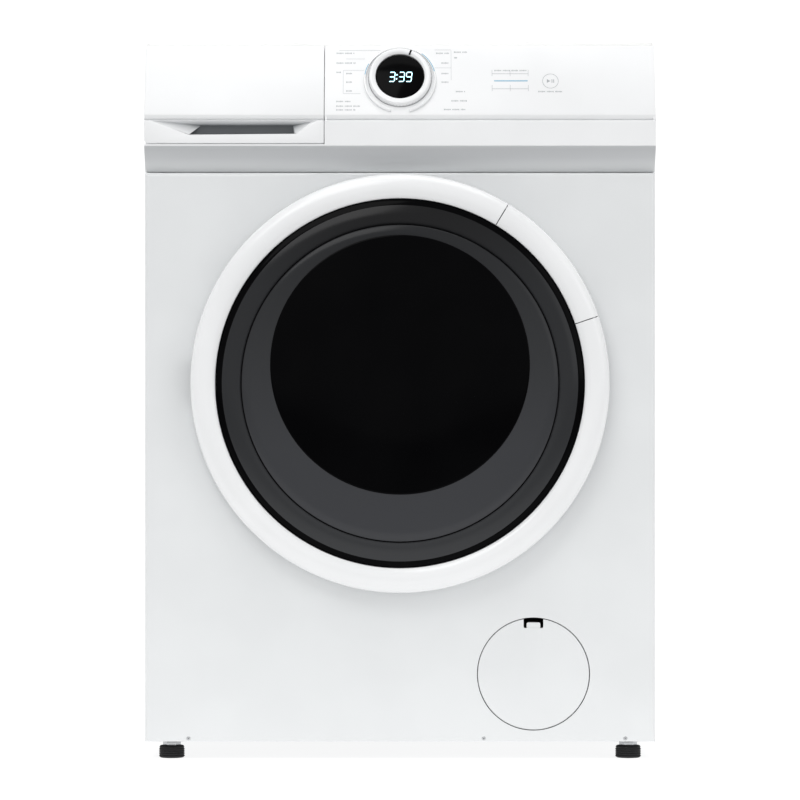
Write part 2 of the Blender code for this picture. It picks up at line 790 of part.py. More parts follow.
    door_axis = pivot("door_axis", (HINGE_X, HINGE_Y, AXIS_Z))
    hang(door_axis, frame, window, inner, bowl, knuckle)
    grip = 0.2055
    handle_axis = pivot(
        "door_handle_axis", (grip * cos(middle), -0.2720, AXIS_Z + grip * sin(middle))
    )
    hang(handle_axis, handle)
    hang(door_axis, handle_axis)
    hook_axis = pivot("door_hook_axis", (0.2215, -0.2630, AXIS_Z))
    hang(hook_axis, hook)
    hang(door_axis, hook_axis)


def make_flap_and_pump():
    """The filter flap, the drain pump behind it with its filter and impeller, and the drain hose."""
    low, high = FRONT_Y + 0.0002, FRONT_Y + 0.0024
    flap = rod("filter_flap", (PUMP_X, low, PUMP_Z), (PUMP_X, high, PUMP_Z), FLAP_RADIUS, 40)
    notch_top, through = PUMP_Z + 0.052, (low - 0.01, high + 0.01)
    notch = [
        box(name, (PUMP_X + x_low, through[0], notch_top - drop), (PUMP_X + x_high, through[1], notch_top - rise))
        for name, x_low, x_high, drop, rise in (
            ("notch_left", -0.0115, -0.0085, 0.010, 0.0),
            ("notch_right", 0.0085, 0.0115, 0.010, 0.0),
            ("notch_lower", -0.0110, 0.0110, 0.011, 0.008),
        )
    ]
    finish(cut(flap, *notch), "enamel")
    hang(pivot("filter_flap_axis", (PUMP_X, low, PUMP_Z - 0.058)), flap)

    centre = (PUMP_X, PUMP_Z)
    pump = turned(
        "drain_pump",
        [(0.0325, -0.2360), (0.0380, -0.2360), (0.0380, -0.1500), (0.0460, -0.1450), (0.0460, -0.0950),
         (0, -0.0950), (0, -0.1200), (0.0325, -0.1200)],
        centre,
        steps=24,
    )
    outlet = rod("pump_outlet", (PUMP_X, -0.135, PUMP_Z + 0.040), (PUMP_X, -0.135, PUMP_Z + 0.060), 0.010, 12)
    inlet = rod("pump_inlet", (PUMP_X - 0.036, -0.190, PUMP_Z), (PUMP_X - 0.060, -0.190, PUMP_Z), 0.014, 16)
    finish(join(pump, outlet, inlet), "grey plastic")
    pump_filter = turned(
        "pump_filter",
        [(0, -0.2385), (0.0310, -0.2385), (0.0310, -0.2250), (0.0270, -0.2250), (0.0270, -0.1550),
         (0, -0.1550)],
        centre,
        steps=24,
    )
    grip = box(
        "filter_grip", (PUMP_X - 0.004, -0.2435, PUMP_Z - 0.026), (PUMP_X + 0.004, -0.2370, PUMP_Z + 0.026)
    )
    finish(join(pump_filter, grip), "white plastic")
    hang(pivot("pump_filter_axis", (PUMP_X, -0.2385, PUMP_Z)), pump_filter)
    impeller = rod("pump_impeller", (PUMP_X, -0.144, PUMP_Z), (PUMP_X, -0.123, PUMP_Z), 0.006, 16)
    vanes = [
        box("vane_" + way, (PUMP_X - wide, -0.1420, PUMP_Z - tall), (PUMP_X + wide, -0.1260, PUMP_Z + tall))
        for way, wide, tall in (("across", 0.022, 0.0015), ("up", 0.0015, 0.022))
    ]
    finish(join(impeller, *vanes), "grey plastic")
    hang(pivot("pump_impeller_axis", (PUMP_X, -0.1335, PUMP_Z)), impeller)

    route = [
        (PUMP_X, -0.135, PUMP_Z + 0.0605), (PUMP_X, -0.135, 0.168), (0.172, -0.130, 0.190),
        (0.215, -0.105, 0.180), (0.255, -0.030, 0.135),
        (0.264, 0.100, 0.120), (0.262, 0.200, 0.160), (0.250, 0.2400, 0.280), (0.235, 0.2440, 0.500),
        (0.210, 0.2400, 0.700), (0.200, 0.2350, 0.760), (0.200, 0.2500, 0.775),
        (0.200, 0.2735, 0.775),
    ]
    finish(tube("drain_hose", smooth_route(route, 30), 0.0095), "grey rubber")

    valve = box("inlet_valve", (-0.226, 0.212, 0.752), (-0.174, 0.250, 0.798), bevel=0.003)
    spigot = rod("valve_spigot", (-0.200, 0.245, 0.775), (-0.200, 0.2825, 0.775), 0.0132, 16)
    finish(join(valve, spigot), "white plastic")
    gland = turned(
        "cord_gland",
        [(0, 0.2560), (0.0079, 0.2560), (0.0079, REAR_Y), (0.0125, REAR_Y), (0.0105, REAR_Y + 0.008),
         (0, REAR_Y + 0.008)],
        centre=(0.250, 0.700),
        steps=16,
    )
    finish(gland, "black plastic")


def make_tub():
    """The suspended tub in two halves, with all that is bolted to it."""
    front = turned(
        "tub_front",
        [(0.1600, -0.1920), (NECK_RADIUS, -0.1920), (NECK_RADIUS, -0.1680), (0.2570, -0.1680),
         (TUB_RADIUS, -0.1630), (TUB_RADIUS, -0.0080), (0.2700, -0.0080), (0.2700, -GAP),
         (TUB_RADIUS - TUB_WALL, -GAP), (TUB_RADIUS - TUB_WALL, -0.1620), (0.1600, -0.1650)],
        steps=TUB_ROUND,
    )
    sump = rod("sump_spout", (0, -0.125, AXIS_Z - 0.261), (0, -0.125, AXIS_Z - 0.290), 0.016, 16)
    finish(join(front, sump), "grey plastic")
    rear = turned(
        "tub_rear",
        [(TUB_RADIUS - TUB_WALL, GAP), (0.2700, GAP), (0.2700, 0.0080), (TUB_RADIUS, 0.0080),
         (TUB_RADIUS, 0.1520),
         (0.2560, TUB_REAR_Y), (0.0450, 0.1620), (0.0340, 0.1680), (0.0340, 0.2050), (0.0275, 0.2050),
         (0.0275, 0.1450), (0.2560, 0.1480), (TUB_RADIUS - TUB_WALL, 0.1450)],
        steps=TUB_ROUND,
    )
    finish(rear, "grey plastic")
    for name, low, high in (("front_bearing", 0.150, 0.166), ("rear_bearing", 0.188, 0.202)):
        bearing = turned(name, [(0.0134, low), (0.0268, low), (0.0268, high), (0.0134, high)], steps=20)
        finish(bearing, "steel")
    for name, start, end in (("upper_counterweight", 30, 150), ("lower_counterweight", 214, 326)):
        weight = plate(name, [arc_band(0.182, 0.234, radians(start), radians(end), 20)], -0.2140, -0.1684, "Y")
        weight.location.z = AXIS_Z
        finish(weight, "concrete")

    motor = turned(
        "motor",
        [(0, 0.030), (0.040, 0.030), (0.045, 0.036), (0.045, 0.180), (0.040, 0.188), (0.0075, 0.188), (0.0075, 0.165),
         (0, 0.165)],
        centre=(MOTOR_X, MOTOR_Z),
        steps=24,
    )
    ear = box("motor_ear", (MOTOR_X - 0.020, 0.050, MOTOR_Z + 0.035), (MOTOR_X + 0.020, 0.140, 0.1740))
    finish(join(motor, ear), "motor steel")
    pulley_rear = PULLEY_FRONT_Y + PULLEY_WIDTH
    motor_pulley = turned(
        "motor_pulley",
        [(0, 0.168), (0.0062, 0.168), (0.0062, PULLEY_FRONT_Y), (MOTOR_PULLEY_RADIUS, PULLEY_FRONT_Y),
         (MOTOR_PULLEY_RADIUS, pulley_rear), (0, pulley_rear)],
        centre=(MOTOR_X, MOTOR_Z),
        steps=20,
    )
    finish(motor_pulley, "steel")
    hang(pivot("motor_pulley_axis", (MOTOR_X, 0.2, MOTOR_Z)), motor_pulley)
    belt = plate(
        "drive_belt",
        [belt_outline(0.0045), belt_outline(0.0010)],
        PULLEY_FRONT_Y + 0.002,
        pulley_rear - 0.002,
        "Y",
    )
    finish(belt, "rubber")

    heat_z = AXIS_Z - 0.2470
    bend = arc(0.030, pi, 0, 8, (0, 0.060))
    heater_points = [(-0.030, -0.150), (-0.030, -0.050), *bend, (0.030, -0.050), (0.030, -0.150)]
    finish(tube("heater", [(x, y, heat_z) for x, y in heater_points], 0.0035), "steel")

    for side, x in (("left", -DAMPER_X), ("right", DAMPER_X)):
        cylinder = turned(
            "damper_cylinder_" + side,
            [(0, 0.0255), (0.016, 0.0255), (0.016, 0.150), (0.0125, 0.150), (0.0125, 0.045), (0, 0.045)],
            centre=(x, 0.035),
            axis="Z",
            steps=16,
        )
        finish(cylinder, "grey plastic")
        rod_part = turned(
            "damper_rod_" + side,
            [(0, 0.075), (0.0110, 0.075), (0.0110, 0.205), (0.0140, 0.208), (0.0140, 0.218), (0, 0.218)],
            centre=(x, 0.035),
            axis="Z",
            steps=16,
        )
        finish(rod_part, "steel")
    for side, x in (("left", -SPRING_X), ("right", SPRING_X)):
        finish(tube("spring_" + side, coil(x, 0.06, SPRING_LOW, SPRING_HIGH, 0.011, 7), 0.0017, 0), "steel")

    gasket = turned(
        "door_gasket",
        [(0.1500, -0.2462), (0.1660, -0.2475), (0.1670, -0.2440), (0.1740, -0.2438), (0.1745, -0.2250),
         (0.1600, -0.2155), (0.1600, -0.2080), (0.1715, -0.2000), (0.1715, -0.1800), (0.1656, -0.1800),
         (0.1656, -0.1940), (0.1680, -0.1985), (0.1572, -0.2065), (0.1572, -0.2168), (0.1720, -0.2265),
         (0.1718, -0.2412), (0.1600, -0.2415), (0.1500, -0.2440)],
        steps=TUB_ROUND,
    )
    finish(gasket, "grey rubber")
    sump_route = [(0, -0.125, AXIS_Z - 0.2905), (0, -0.125, 0.140), (0.018, -0.150, 0.112),
                  (0.050, -0.185, PUMP_Z), (0.075, -0.190, PUMP_Z), (PUMP_X - 0.0605, -0.190, PUMP_Z)]
    finish(tube("sump_hose", smooth_route(sump_route, 14), 0.015), "rubber")
    fill_route = [(-0.190, 0.0, 0.6990), (-0.190, 0.0, 0.692), (-0.190, 0.008, 0.676), (-0.190, 0.030, 0.658),
                  (-0.190, 0.036, 0.648)]
    finish(tube("fill_hose", smooth_route(fill_route, 8), 0.0125), "rubber")


def coil(x, y, low, high, radius, turns):
    """A helix about a vertical axis."""
    count = turns * 8
    return [
        (x + radius * cos(2 * pi * turns * i / count), y + radius * sin(2 * pi * turns * i / count),
         low + (high - low) * i / count)
        for i in range(count + 1)
    ]


def belt_outline(clearance):
    """A loop round both pulleys, clear of their rims."""
    big, small = PULLEY_RADIUS + clearance, MOTOR_PULLEY_RADIUS + clearance
    across, down = MOTOR_X, MOTOR_Z - AXIS_Z
    toward = atan2(down, across)
    lean = acos((big - small) / hypot(across, down))
    large = arc(big, toward + lean, toward + 2 * pi - lean, 36, (0, AXIS_Z))
    little = arc(small, toward - lean, toward + lean, 10, (MOTOR_X, MOTOR_Z))
    return large + little


def make_drum():
    """The drum with its spider, shaft and pulley, and three paddles."""
    drum = turned(
        "drum",
        [(0, DRUM_REAR_Y - DRUM_WALL), (0.2250, DRUM_REAR_Y - DRUM_WALL), (DRUM_RADIUS - DRUM_WALL, 0.1095),
         (DRUM_RADIUS - DRUM_WALL, -0.1480), (0.2275, DRUM_FRONT_Y + DRUM_WALL), (0.1580, DRUM_FRONT_Y + DRUM_WALL),
         (0.1580, DRUM_FRONT_Y), (0.2290, DRUM_FRONT_Y), (DRUM_RADIUS, -0.1490), (DRUM_RADIUS, 0.1105),
         (0.2262, DRUM_REAR_Y), (0, DRUM_REAR_Y)],
        steps=TUB_ROUND,
    )
    finish(drum, "steel")
    spider = rod("drum_spider", (0, DRUM_REAR_Y + GAP, AXIS_Z), (0, 0.240, AXIS_Z), SHAFT_RADIUS, 24)
    hub = rod("spider_hub", (0, DRUM_REAR_Y + GAP, AXIS_Z), (0, 0.1400, AXIS_Z), 0.038, 18)
    arms = []
    for number in range(3):
        angle = pi / 2 + number * 2 * pi / 3
        arm = box(f"spider_arm_{number}", (0.010, DRUM_REAR_Y + 0.0006, -0.014), (0.215, 0.1340, 0.014))
        arm.matrix_world = (
            Matrix.Translation((0, 0, AXIS_Z)) @ Matrix.Rotation(-angle, 4, "Y") @ Matrix.Translation(arm.location)
        )
        arms.append(arm)
    finish(join(spider, hub, *arms), "cast aluminium")
    pulley_rear = PULLEY_FRONT_Y + PULLEY_WIDTH
    pulley = turned(
        "drum_pulley",
        [(0.0130, PULLEY_FRONT_Y), (0.0300, PULLEY_FRONT_Y), (0.0300, PULLEY_FRONT_Y + 0.005),
         (0.1250, PULLEY_FRONT_Y + 0.005), (0.1250, PULLEY_FRONT_Y), (PULLEY_RADIUS, PULLEY_FRONT_Y),
         (PULLEY_RADIUS, pulley_rear), (0.1250, pulley_rear), (0.1250, PULLEY_FRONT_Y + 0.011),
         (0.0300, PULLEY_FRONT_Y + 0.011), (0.0300, pulley_rear), (0.0130, pulley_rear)],
        steps=TUB_ROUND,
    )
    finish(pulley, "cast aluminium")
    paddles = []
    for number in range(3):
        angle = radians(30) + number * 2 * pi / 3
        paddle = box(f"paddle_{number + 1}", (0.196, -0.115, -0.016), (0.2300, 0.080, 0.016))
        paddle.matrix_world = (
            Matrix.Translation((0, 0, AXIS_Z)) @ Matrix.Rotation(-angle, 4, "Y") @ Matrix.Translation(paddle.location)
        )
        rounding = paddle.modifiers.new("rounding", "BEVEL")
        rounding.width = 0.008
        rounding.segments = 2
        finish(paddle, "white plastic")
        paddles.append(paddle)
    bpy.context.view_layer.update()
    axis = pivot("drum_axis", (0, 0, AXIS_Z))
    hang(axis, drum, spider, pulley, *paddles)


def main():
    make_casing()
    make_feet()
    make_fascia()
    make_dial()
    make_drawer()
    make_door()
    make_flap_and_pump()
    make_tub()
    make_drum()
    bpy.context.view_layer.update()


main()
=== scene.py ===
"""The looks of a front-load washing machine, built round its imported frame. Metres, +Z up, the door faces -Y."""

from __future__ import annotations

import logging
from collections.abc import Iterable, Sequence
from dataclasses import dataclass
from enum import Enum
from math import cos, hypot, pi, radians, sin, tan

import bmesh
import bpy
from mathutils import Matrix, Vector

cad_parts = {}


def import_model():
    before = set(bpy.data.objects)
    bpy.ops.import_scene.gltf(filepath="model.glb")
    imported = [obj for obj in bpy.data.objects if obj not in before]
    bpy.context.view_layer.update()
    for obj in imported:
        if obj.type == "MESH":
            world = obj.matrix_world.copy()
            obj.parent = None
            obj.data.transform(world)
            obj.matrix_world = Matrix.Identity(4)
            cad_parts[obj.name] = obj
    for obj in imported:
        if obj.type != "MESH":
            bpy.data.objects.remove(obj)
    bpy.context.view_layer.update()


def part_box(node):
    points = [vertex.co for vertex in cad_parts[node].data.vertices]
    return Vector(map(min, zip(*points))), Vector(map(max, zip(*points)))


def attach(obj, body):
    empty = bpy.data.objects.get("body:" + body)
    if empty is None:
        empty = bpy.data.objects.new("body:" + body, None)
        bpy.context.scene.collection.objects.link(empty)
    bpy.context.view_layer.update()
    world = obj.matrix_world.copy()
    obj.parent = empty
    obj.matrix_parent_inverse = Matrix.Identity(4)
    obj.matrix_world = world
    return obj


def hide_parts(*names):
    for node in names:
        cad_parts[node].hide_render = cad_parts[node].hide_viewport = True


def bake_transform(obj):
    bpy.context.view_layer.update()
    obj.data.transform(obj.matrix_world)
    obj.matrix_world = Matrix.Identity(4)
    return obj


LOG = logging.getLogger("washing_machine")
Point = tuple[float, float]
Place = Sequence[float]
Piece = bpy.types.Object
Socket = bpy.types.NodeSocket
Value = Socket | float | tuple

# Depths of the front panel, the fascia's upright face, and the back and top edge of its skin.
FRONT_Y = -0.2465
FASCIA_Y = -0.2585
FASCIA_BACK_Y = -0.2055
FASCIA_TOP_Y = -0.2152
# The leaning face: its angle, its lower and upper edge, and the height of the dial on it.
TILT = radians(20.7)
FACE_BOTTOM = 0.751
FACE_TOP = 0.8346
DIAL_Z = 0.7954
# The height of the axis that the door, the tub and the drum share.
AXIS_Z = 0.439
TURN = 2 * pi
# Vertices closer than this many metres are made one.
WELD = 0.000001
# Edges flatter than this many degrees are shaded smooth, and a little less where a piece has been cut.
SMOOTH_UNDER = 40.0
CUT_SMOOTH_UNDER = 38.0
# A rounded corner takes up no more than this share of a side.
CORNER_SHARE = 0.45


class Way(Enum):
    """The axis that a shape is turned about or pushed along, as the turns about X and Z that bring Z to it."""

    ACROSS = (pi / 2, pi / 2)
    DEEP = (pi / 2, 0.0)
    UPRIGHT = (0.0, 0.0)
    FACE = (pi / 2 - TILT, 0.0)


def linear(hex_colour: str) -> tuple[float, float, float, float]:
    """Turns an sRGB hex colour to a linear one.

    Args:
        hex_colour: Six hex digits.

    Returns:
        The linear red, green, blue and an alpha of 1.
    """
    parts = [int(hex_colour[i : i + 2], 16) / 255 for i in (0, 2, 4)]
    return (*(c / 12.92 if c <= 0.04045 else ((c + 0.055) / 1.055) ** 2.4 for c in parts), 1.0)


def face_y(z: float) -> float:
    """Gives the fascia's front at a height."""
    return FASCIA_Y + max(0.0, z - FACE_BOTTOM) * tan(TILT)


def on_face(across: float, up: float, out: float = 0.0) -> Vector:
    """Gives a place on the sloping face.

    Args:
        across: Metres to the right of the dial's centre.
        up: Metres up the slope from it.
        out: Metres out of the face.

    Returns:
        The place in the frame.
    """
    base = Vector((across, face_y(DIAL_Z), DIAL_Z))
    return base + Vector((0, sin(TILT), cos(TILT))) * up + Vector((0, -cos(TILT), sin(TILT))) * out


DIAL = on_face(0, 0)


def local_to_world(way: Way, centre: Place) -> Matrix:
    """Gives the matrix from a shape's own axes to the frame.

    Args:
        way: The axis that local Z follows: on DEEP and FACE it points out of the front.
        centre: The shape's origin in the frame.

    Returns:
        The placing matrix.
    """
    about_x, about_z = way.value
    return Matrix.Translation(Vector(centre)) @ Matrix.Rotation(about_z, 4, "Z") @ Matrix.Rotation(about_x, 4, "X")


def soft_corners(points: Sequence[Point], radius: float, steps: int = 4) -> list[Point]:
    """Rounds each corner of a closed outline.

    Args:
        points: The outline's corners.
        radius: How far back from a corner its rounding starts, in metres.
        steps: Spans in each rounded corner.

    Returns:
        The rounded outline.
    """
    made: list[Point] = []
    count = len(points)
    for i, here in enumerate(points):
        before, after = Vector(points[i - 1]), Vector(points[(i + 1) % count])
        corner = Vector(here)
        reach_in = min(radius, (before - corner).length * CORNER_SHARE)
        reach_out = min(radius, (after - corner).length * CORNER_SHARE)
        start = corner + (before - corner).normalized() * reach_in
        end = corner + (after - corner).normalized() * reach_out
        for step in range(steps + 1):
            t = step / steps
            at = start * (1 - t) ** 2 + corner * 2 * t * (1 - t) + end * t * t
            made.append((at.x, at.y))
    return made


def oblong(left: float, right: float, low: float, high: float) -> list[Point]:
    """Gives the corners of a rectangle, from its lower left one on."""
    return [(left, low), (right, low), (right, high), (left, high)]


def arc(radius: float, start: float, end: float, count: int, centre: Point = (0.0, 0.0)) -> list[Point]:
    """Gives points on an arc from one angle to another."""
    turns = [start + (end - start) * i / count for i in range(count + 1)]
    return [(centre[0] + radius * cos(a), centre[1] + radius * sin(a)) for a in turns]


def piece_from(name: str, shape: bmesh.types.BMesh, smooth_under: float = SMOOTH_UNDER) -> Piece:
    """Makes an object of a finished bmesh.

    Args:
        name: The piece's name.
        shape: The shape, which is freed.
        smooth_under: Edges under this angle in degrees are shaded smooth.

    Returns:
        The object, linked to the scene.
    """
    bmesh.ops.remove_doubles(shape, verts=shape.verts, dist=WELD)
    bmesh.ops.recalc_face_normals(shape, faces=shape.faces)
    mesh = bpy.data.meshes.new(name)
    shape.to_mesh(mesh)
    shape.free()
    mesh.shade_smooth()
    mesh.set_sharp_from_angle(angle=radians(smooth_under))
    made = bpy.data.objects.new(name, mesh)
    bpy.context.scene.collection.objects.link(made)
    return made


def turned(
    name: str,
    outline: Sequence[Point],
    centre: Place = (0.0, 0.0, AXIS_Z),
    way: Way = Way.DEEP,
    steps: int = 128,
    start: float = 0.0,
    sweep: float = TURN,
    smooth_under: float = SMOOTH_UNDER,
) -> Piece:
    """Turns a closed outline about an axis.

    Args:
        name: The piece's name.
        outline: (radius, height) points, the height along the way's axis.
        centre: A point on the axis in the frame.
        way: The axis. On DEEP a height is a distance towards the front.
        steps: Steps in the sweep.
        start: First angle in radians.
        sweep: How far it turns in radians.
        smooth_under: Edges under this angle in degrees are shaded smooth.

    Returns:
        The turned piece.
    """
    shape = bmesh.new()
    full = sweep >= TURN
    rings = []
    for step in range(steps if full else steps + 1):
        a = start + sweep * step / steps
        rings.append([shape.verts.new((r * cos(a), r * sin(a), h)) for r, h in outline])
    count = len(outline)
    for step in range(steps):
        here, there = rings[step], rings[(step + 1) % len(rings)]
        for i in range(count):
            j = (i + 1) % count
            corners = [here[i], here[j], *(there[k] for k in (j, i) if outline[k][0])]
            if len(corners) > 2:
                shape.faces.new(corners)
    if not full:
        shape.faces.new(rings[0])
        shape.faces.new(list(reversed(rings[-1])))
    shape.transform(local_to_world(way, centre))
    return piece_from(name, shape, smooth_under)


def pushed(
    name: str,
    outline: Sequence[Point],
    low: float,
    high: float,
    way: Way = Way.DEEP,
    centre: Place = (0.0, 0.0, 0.0),
    bevel: float = 0.0,
    smooth_under: float = 35.0,
) -> Piece:
    """Pushes a flat outline along an axis to make a solid.

    Args:
        name: The piece's name.
        outline: The outline in the way's own plane.
        low: Where the solid starts along the axis.
        high: Where it ends.
        way: The axis. DEEP and FACE measure out of the front.
        centre: The outline's origin in the frame.
        bevel: Width of the rounding on the two flat ends' edges.
        smooth_under: Edges under this angle in degrees are shaded smooth.

    Returns:
        The solid.
    """
    shape = bmesh.new()
    bottom = [shape.verts.new((x, y, low)) for x, y in outline]
    top = [shape.verts.new((x, y, high)) for x, y in outline]
    count = len(outline)
    ends = [shape.faces.new(bottom), shape.faces.new(list(reversed(top)))]
    for i in range(count):
        j = (i + 1) % count
        shape.faces.new((bottom[i], top[i], top[j], bottom[j]))
    if bevel:
        edges = list({edge for face in ends for edge in face.edges})
        bmesh.ops.bevel(shape, geom=edges, offset=bevel, segments=3, profile=0.5, affect="EDGES")
    shape.transform(local_to_world(way, centre))
    return piece_from(name, shape, smooth_under)


def block(name: str, low: Place, high: Place, bevel: float = 0.0, segments: int = 3) -> Piece:
    """Makes a box with rounded edges.

    Args:
        name: The piece's name.
        low: Its lowest corner.
        high: Its highest corner.
        bevel: Width of the rounding.
        segments: Steps in the rounding.

    Returns:
        The box.
    """
    shape = bmesh.new()
    bmesh.ops.create_cube(shape, size=1)
    bmesh.ops.scale(shape, vec=[b - a for a, b in zip(low, high)], verts=shape.verts)
    if bevel:
        bmesh.ops.bevel(shape, geom=list(shape.edges), offset=bevel, segments=segments, profile=0.5, affect="EDGES")
    bmesh.ops.translate(shape, vec=[(a + b) / 2 for a, b in zip(low, high)], verts=shape.verts)
    return piece_from(name, shape)


def between(name: str, back: Sequence[Place], front: Sequence[Place]) -> Piece:
    """Lofts a solid between two outlines.

    Args:
        name: The piece's name.
        back: The outline at the back.
        front: The one at the front, with as many points.

    Returns:
        The solid.
    """
    shape = bmesh.new()
    first = [shape.verts.new(p) for p in back]
    last = [shape.verts.new(p) for p in front]
    shape.faces.new(first)
    shape.faces.new(list(reversed(last)))
    for i in range(len(first)):
        j = (i + 1) % len(first)
        shape.faces.new((first[i], last[i], last[j], first[j]))
    return piece_from(name, shape)


def joined(name: str, pieces: Iterable[Piece]) -> Piece:
    """Joins loose pieces of one sub-part.

    Args:
        name: The new piece's name.
        pieces: The pieces, which are removed.

    Returns:
        The joined piece.
    """
    shape = bmesh.new()
    for made in list(pieces):
        shape.from_mesh(made.data)
        bpy.data.objects.remove(made)
    return piece_from(name, shape)


def carve(made: Piece, *cutters: Piece, bevel: float = 0.0) -> Piece:
    """Cuts shapes out of a piece for good.

    Args:
        made: The piece.
        cutters: Closed shapes, which are removed afterwards.
        bevel: Rounding of the new sharp edges, in metres.

    Returns:
        The piece.
    """
    for cutter in cutters:
        step = made.modifiers.new("cut", "BOOLEAN")
        step.operation, step.solver, step.object = "DIFFERENCE", "EXACT", cutter
    if bevel:
        rounding = made.modifiers.new("rounding", "BEVEL")
        rounding.width, rounding.segments, rounding.limit_method = bevel, 2, "ANGLE"
        rounding.angle_limit = radians(SMOOTH_UNDER)
    bpy.context.view_layer.update()
    graph = bpy.context.evaluated_depsgraph_get()
    mesh = bpy.data.meshes.new_from_object(made.evaluated_get(graph))
    made.modifiers.clear()
    made.data = mesh
    mesh.shade_smooth()
    mesh.set_sharp_from_angle(angle=radians(CUT_SMOOTH_UNDER))
    for cutter in cutters:
        bpy.data.objects.remove(cutter)
    return made


def smooth_path(points: Sequence[Place], steps: int = 10) -> list[Vector]:
    """Runs a smooth path through points.

    Args:
        points: The places that it passes.
        steps: Steps between each pair of them.

    Returns:
        The path's points.
    """
    knots = [Vector(p) for p in points]
    made: list[Vector] = []
    for i in range(len(knots) - 1):
        p0, p1, p2, p3 = knots[max(i - 1, 0)], knots[i], knots[i + 1], knots[min(i + 2, len(knots) - 1)]
        for step in range(steps):
            t = step / steps
            curved = (2 * p0 - 5 * p1 + 4 * p2 - p3) * t * t + (3 * p1 - p0 - 3 * p2 + p3) * t**3
            made.append((2 * p1 + (p2 - p0) * t + curved) / 2)
    return [*made, knots[-1]]


def wire(name: str, points: Sequence[Place], radius: float, ribs: float = 0.0, sides: int = 3) -> Piece:
    """Makes a round wire or hose along a path.

    Args:
        name: The piece's name.
        points: The path.
        radius: Its radius.
        ribs: The share that every second ring of a corrugated hose is drawn in.
        sides: The roundness, from 1 up.

    Returns:
        The wire as a mesh.
    """
    curve = bpy.data.curves.new(name, "CURVE")
    curve.dimensions, curve.bevel_depth, curve.bevel_resolution, curve.use_fill_caps = "3D", radius, sides, True
    spline = curve.splines.new("POLY")
    spline.points.add(len(points) - 1)
    for i, (point, place) in enumerate(zip(spline.points, points)):
        point.co = (*place, 1)
        point.radius = 1 - ribs * (i // 2 % 2)
    drawn = bpy.data.objects.new(name, curve)
    bpy.context.scene.collection.objects.link(drawn)
    bpy.context.view_layer.update()
    mesh = bpy.data.meshes.new_from_object(drawn.evaluated_get(bpy.context.evaluated_depsgraph_get()))
    bpy.data.objects.remove(drawn)
    bpy.data.curves.remove(curve)
    mesh.shade_smooth()
    made = bpy.data.objects.new(name, mesh)
    bpy.context.scene.collection.objects.link(made)
    return made


class Shader:
    """A material being built from nodes."""

    def __init__(self, name: str) -> None:
        """Starts a material with a Principled surface.

        Args:
            name: The material's name.
        """
        self.material = bpy.data.materials.new(name)
        self.material.use_nodes = True
        self.tree = self.material.node_tree
        self.surface = self.tree.nodes["Principled BSDF"]

    def fill(self, inputs: bpy.types.NodeInputs, values: dict[str, Value]) -> None:
        """Sets or links a node's inputs.

        Args:
            inputs: The node's inputs.
            values: Values or sockets by input name, with _ for a space.
        """
        for key, value in values.items():
            socket = inputs[key.replace("_", " ")]
            if isinstance(value, Socket):
                self.tree.links.new(value, socket)
            else:
                socket.default_value = value

    def add(self, kind: str, **values: Value) -> bpy.types.Node:
        """Adds a node with its settings and links.

        Args:
            kind: The node's type name, without the ShaderNode start.
            values: Input values or sockets by input name, with _ for a space.

        Returns:
            The new node.
        """
        node = self.tree.nodes.new("ShaderNode" + kind)
        self.fill(node.inputs, values)
        return node

    def set(self, **values: Value) -> None:
        """Sets or links the surface's inputs, with _ for a space in a name."""
        self.fill(self.surface.inputs, values)

    def noise(self, size_mm: float, detail: float = 3.0) -> Socket:
        """Gives a noise.

        Args:
            size_mm: How far across its features are, in millimetres.
            detail: How many finer layers lie over it.

        Returns:
            The noise's factor.
        """
        place = self.add("TexCoord").outputs["Object"]
        return self.add("TexNoise", Vector=place, Scale=1000 / size_mm, Detail=detail).outputs["Fac"]

    def ramp(self, factor: Socket, stops: Sequence[tuple[float, str]]) -> Socket:
        """Turns a factor to a colour.

        Args:
            factor: The factor.
            stops: Places along it and their sRGB hex colours.

        Returns:
            The colour.
        """
        node = self.add("ValToRGB", Fac=factor)
        points = node.color_ramp.elements
        while len(points) < len(stops):
            points.new(0.5)
        for point, (at, colour) in zip(points, stops):
            point.position, point.color = at, linear(colour)
        return node.outputs["Color"]

    def spread(self, factor: Socket, middle: float, vary: float) -> Socket:
        """Spreads a factor by so much to either side of a middle value."""
        return self.add("MapRange", Value=factor, To_Min=middle - vary, To_Max=middle + vary).outputs["Result"]

    def relief(self, height: Socket, depth_mm: float, strength: float = 1.0) -> None:
        """Bumps the surface by a height pattern that is so many millimetres deep."""
        bump = self.add("Bump", Height=height, Distance=depth_mm / 1000, Strength=strength)
        self.set(Normal=bump.outputs["Normal"])


@dataclass(frozen=True)
class Finish:
    """A surface's name, colours and how it was made."""

    name: str
    colour: str
    shade: str
    roughness: float
    vary: float = 0.04
    metallic: float = 0.0
    ior: float = 1.5
    coat: float = 0.0
    coat_roughness: float = 0.06
    specular: float = 0.5
    grain_mm: float = 1.0
    grain_depth_mm: float = 0.01
    patch_mm: float = 90.0

    def material(self) -> bpy.types.Material:
        """Builds the material: a faint colour drift over broad patches and a fine grain."""
        shader = Shader(self.name)
        drift = shader.noise(self.patch_mm, 2.0)
        grain = shader.noise(self.grain_mm, 4.0)
        shader.set(Base_Color=shader.ramp(drift, ((0.35, self.shade), (0.65, self.colour))))
        shader.set(Roughness=shader.spread(grain, self.roughness, self.vary))
        shader.set(Metallic=self.metallic, IOR=self.ior, Specular_IOR_Level=self.specular)
        shader.set(Coat_Weight=self.coat, Coat_Roughness=self.coat_roughness)
        shader.relief(grain, self.grain_depth_mm)
        return shader.material


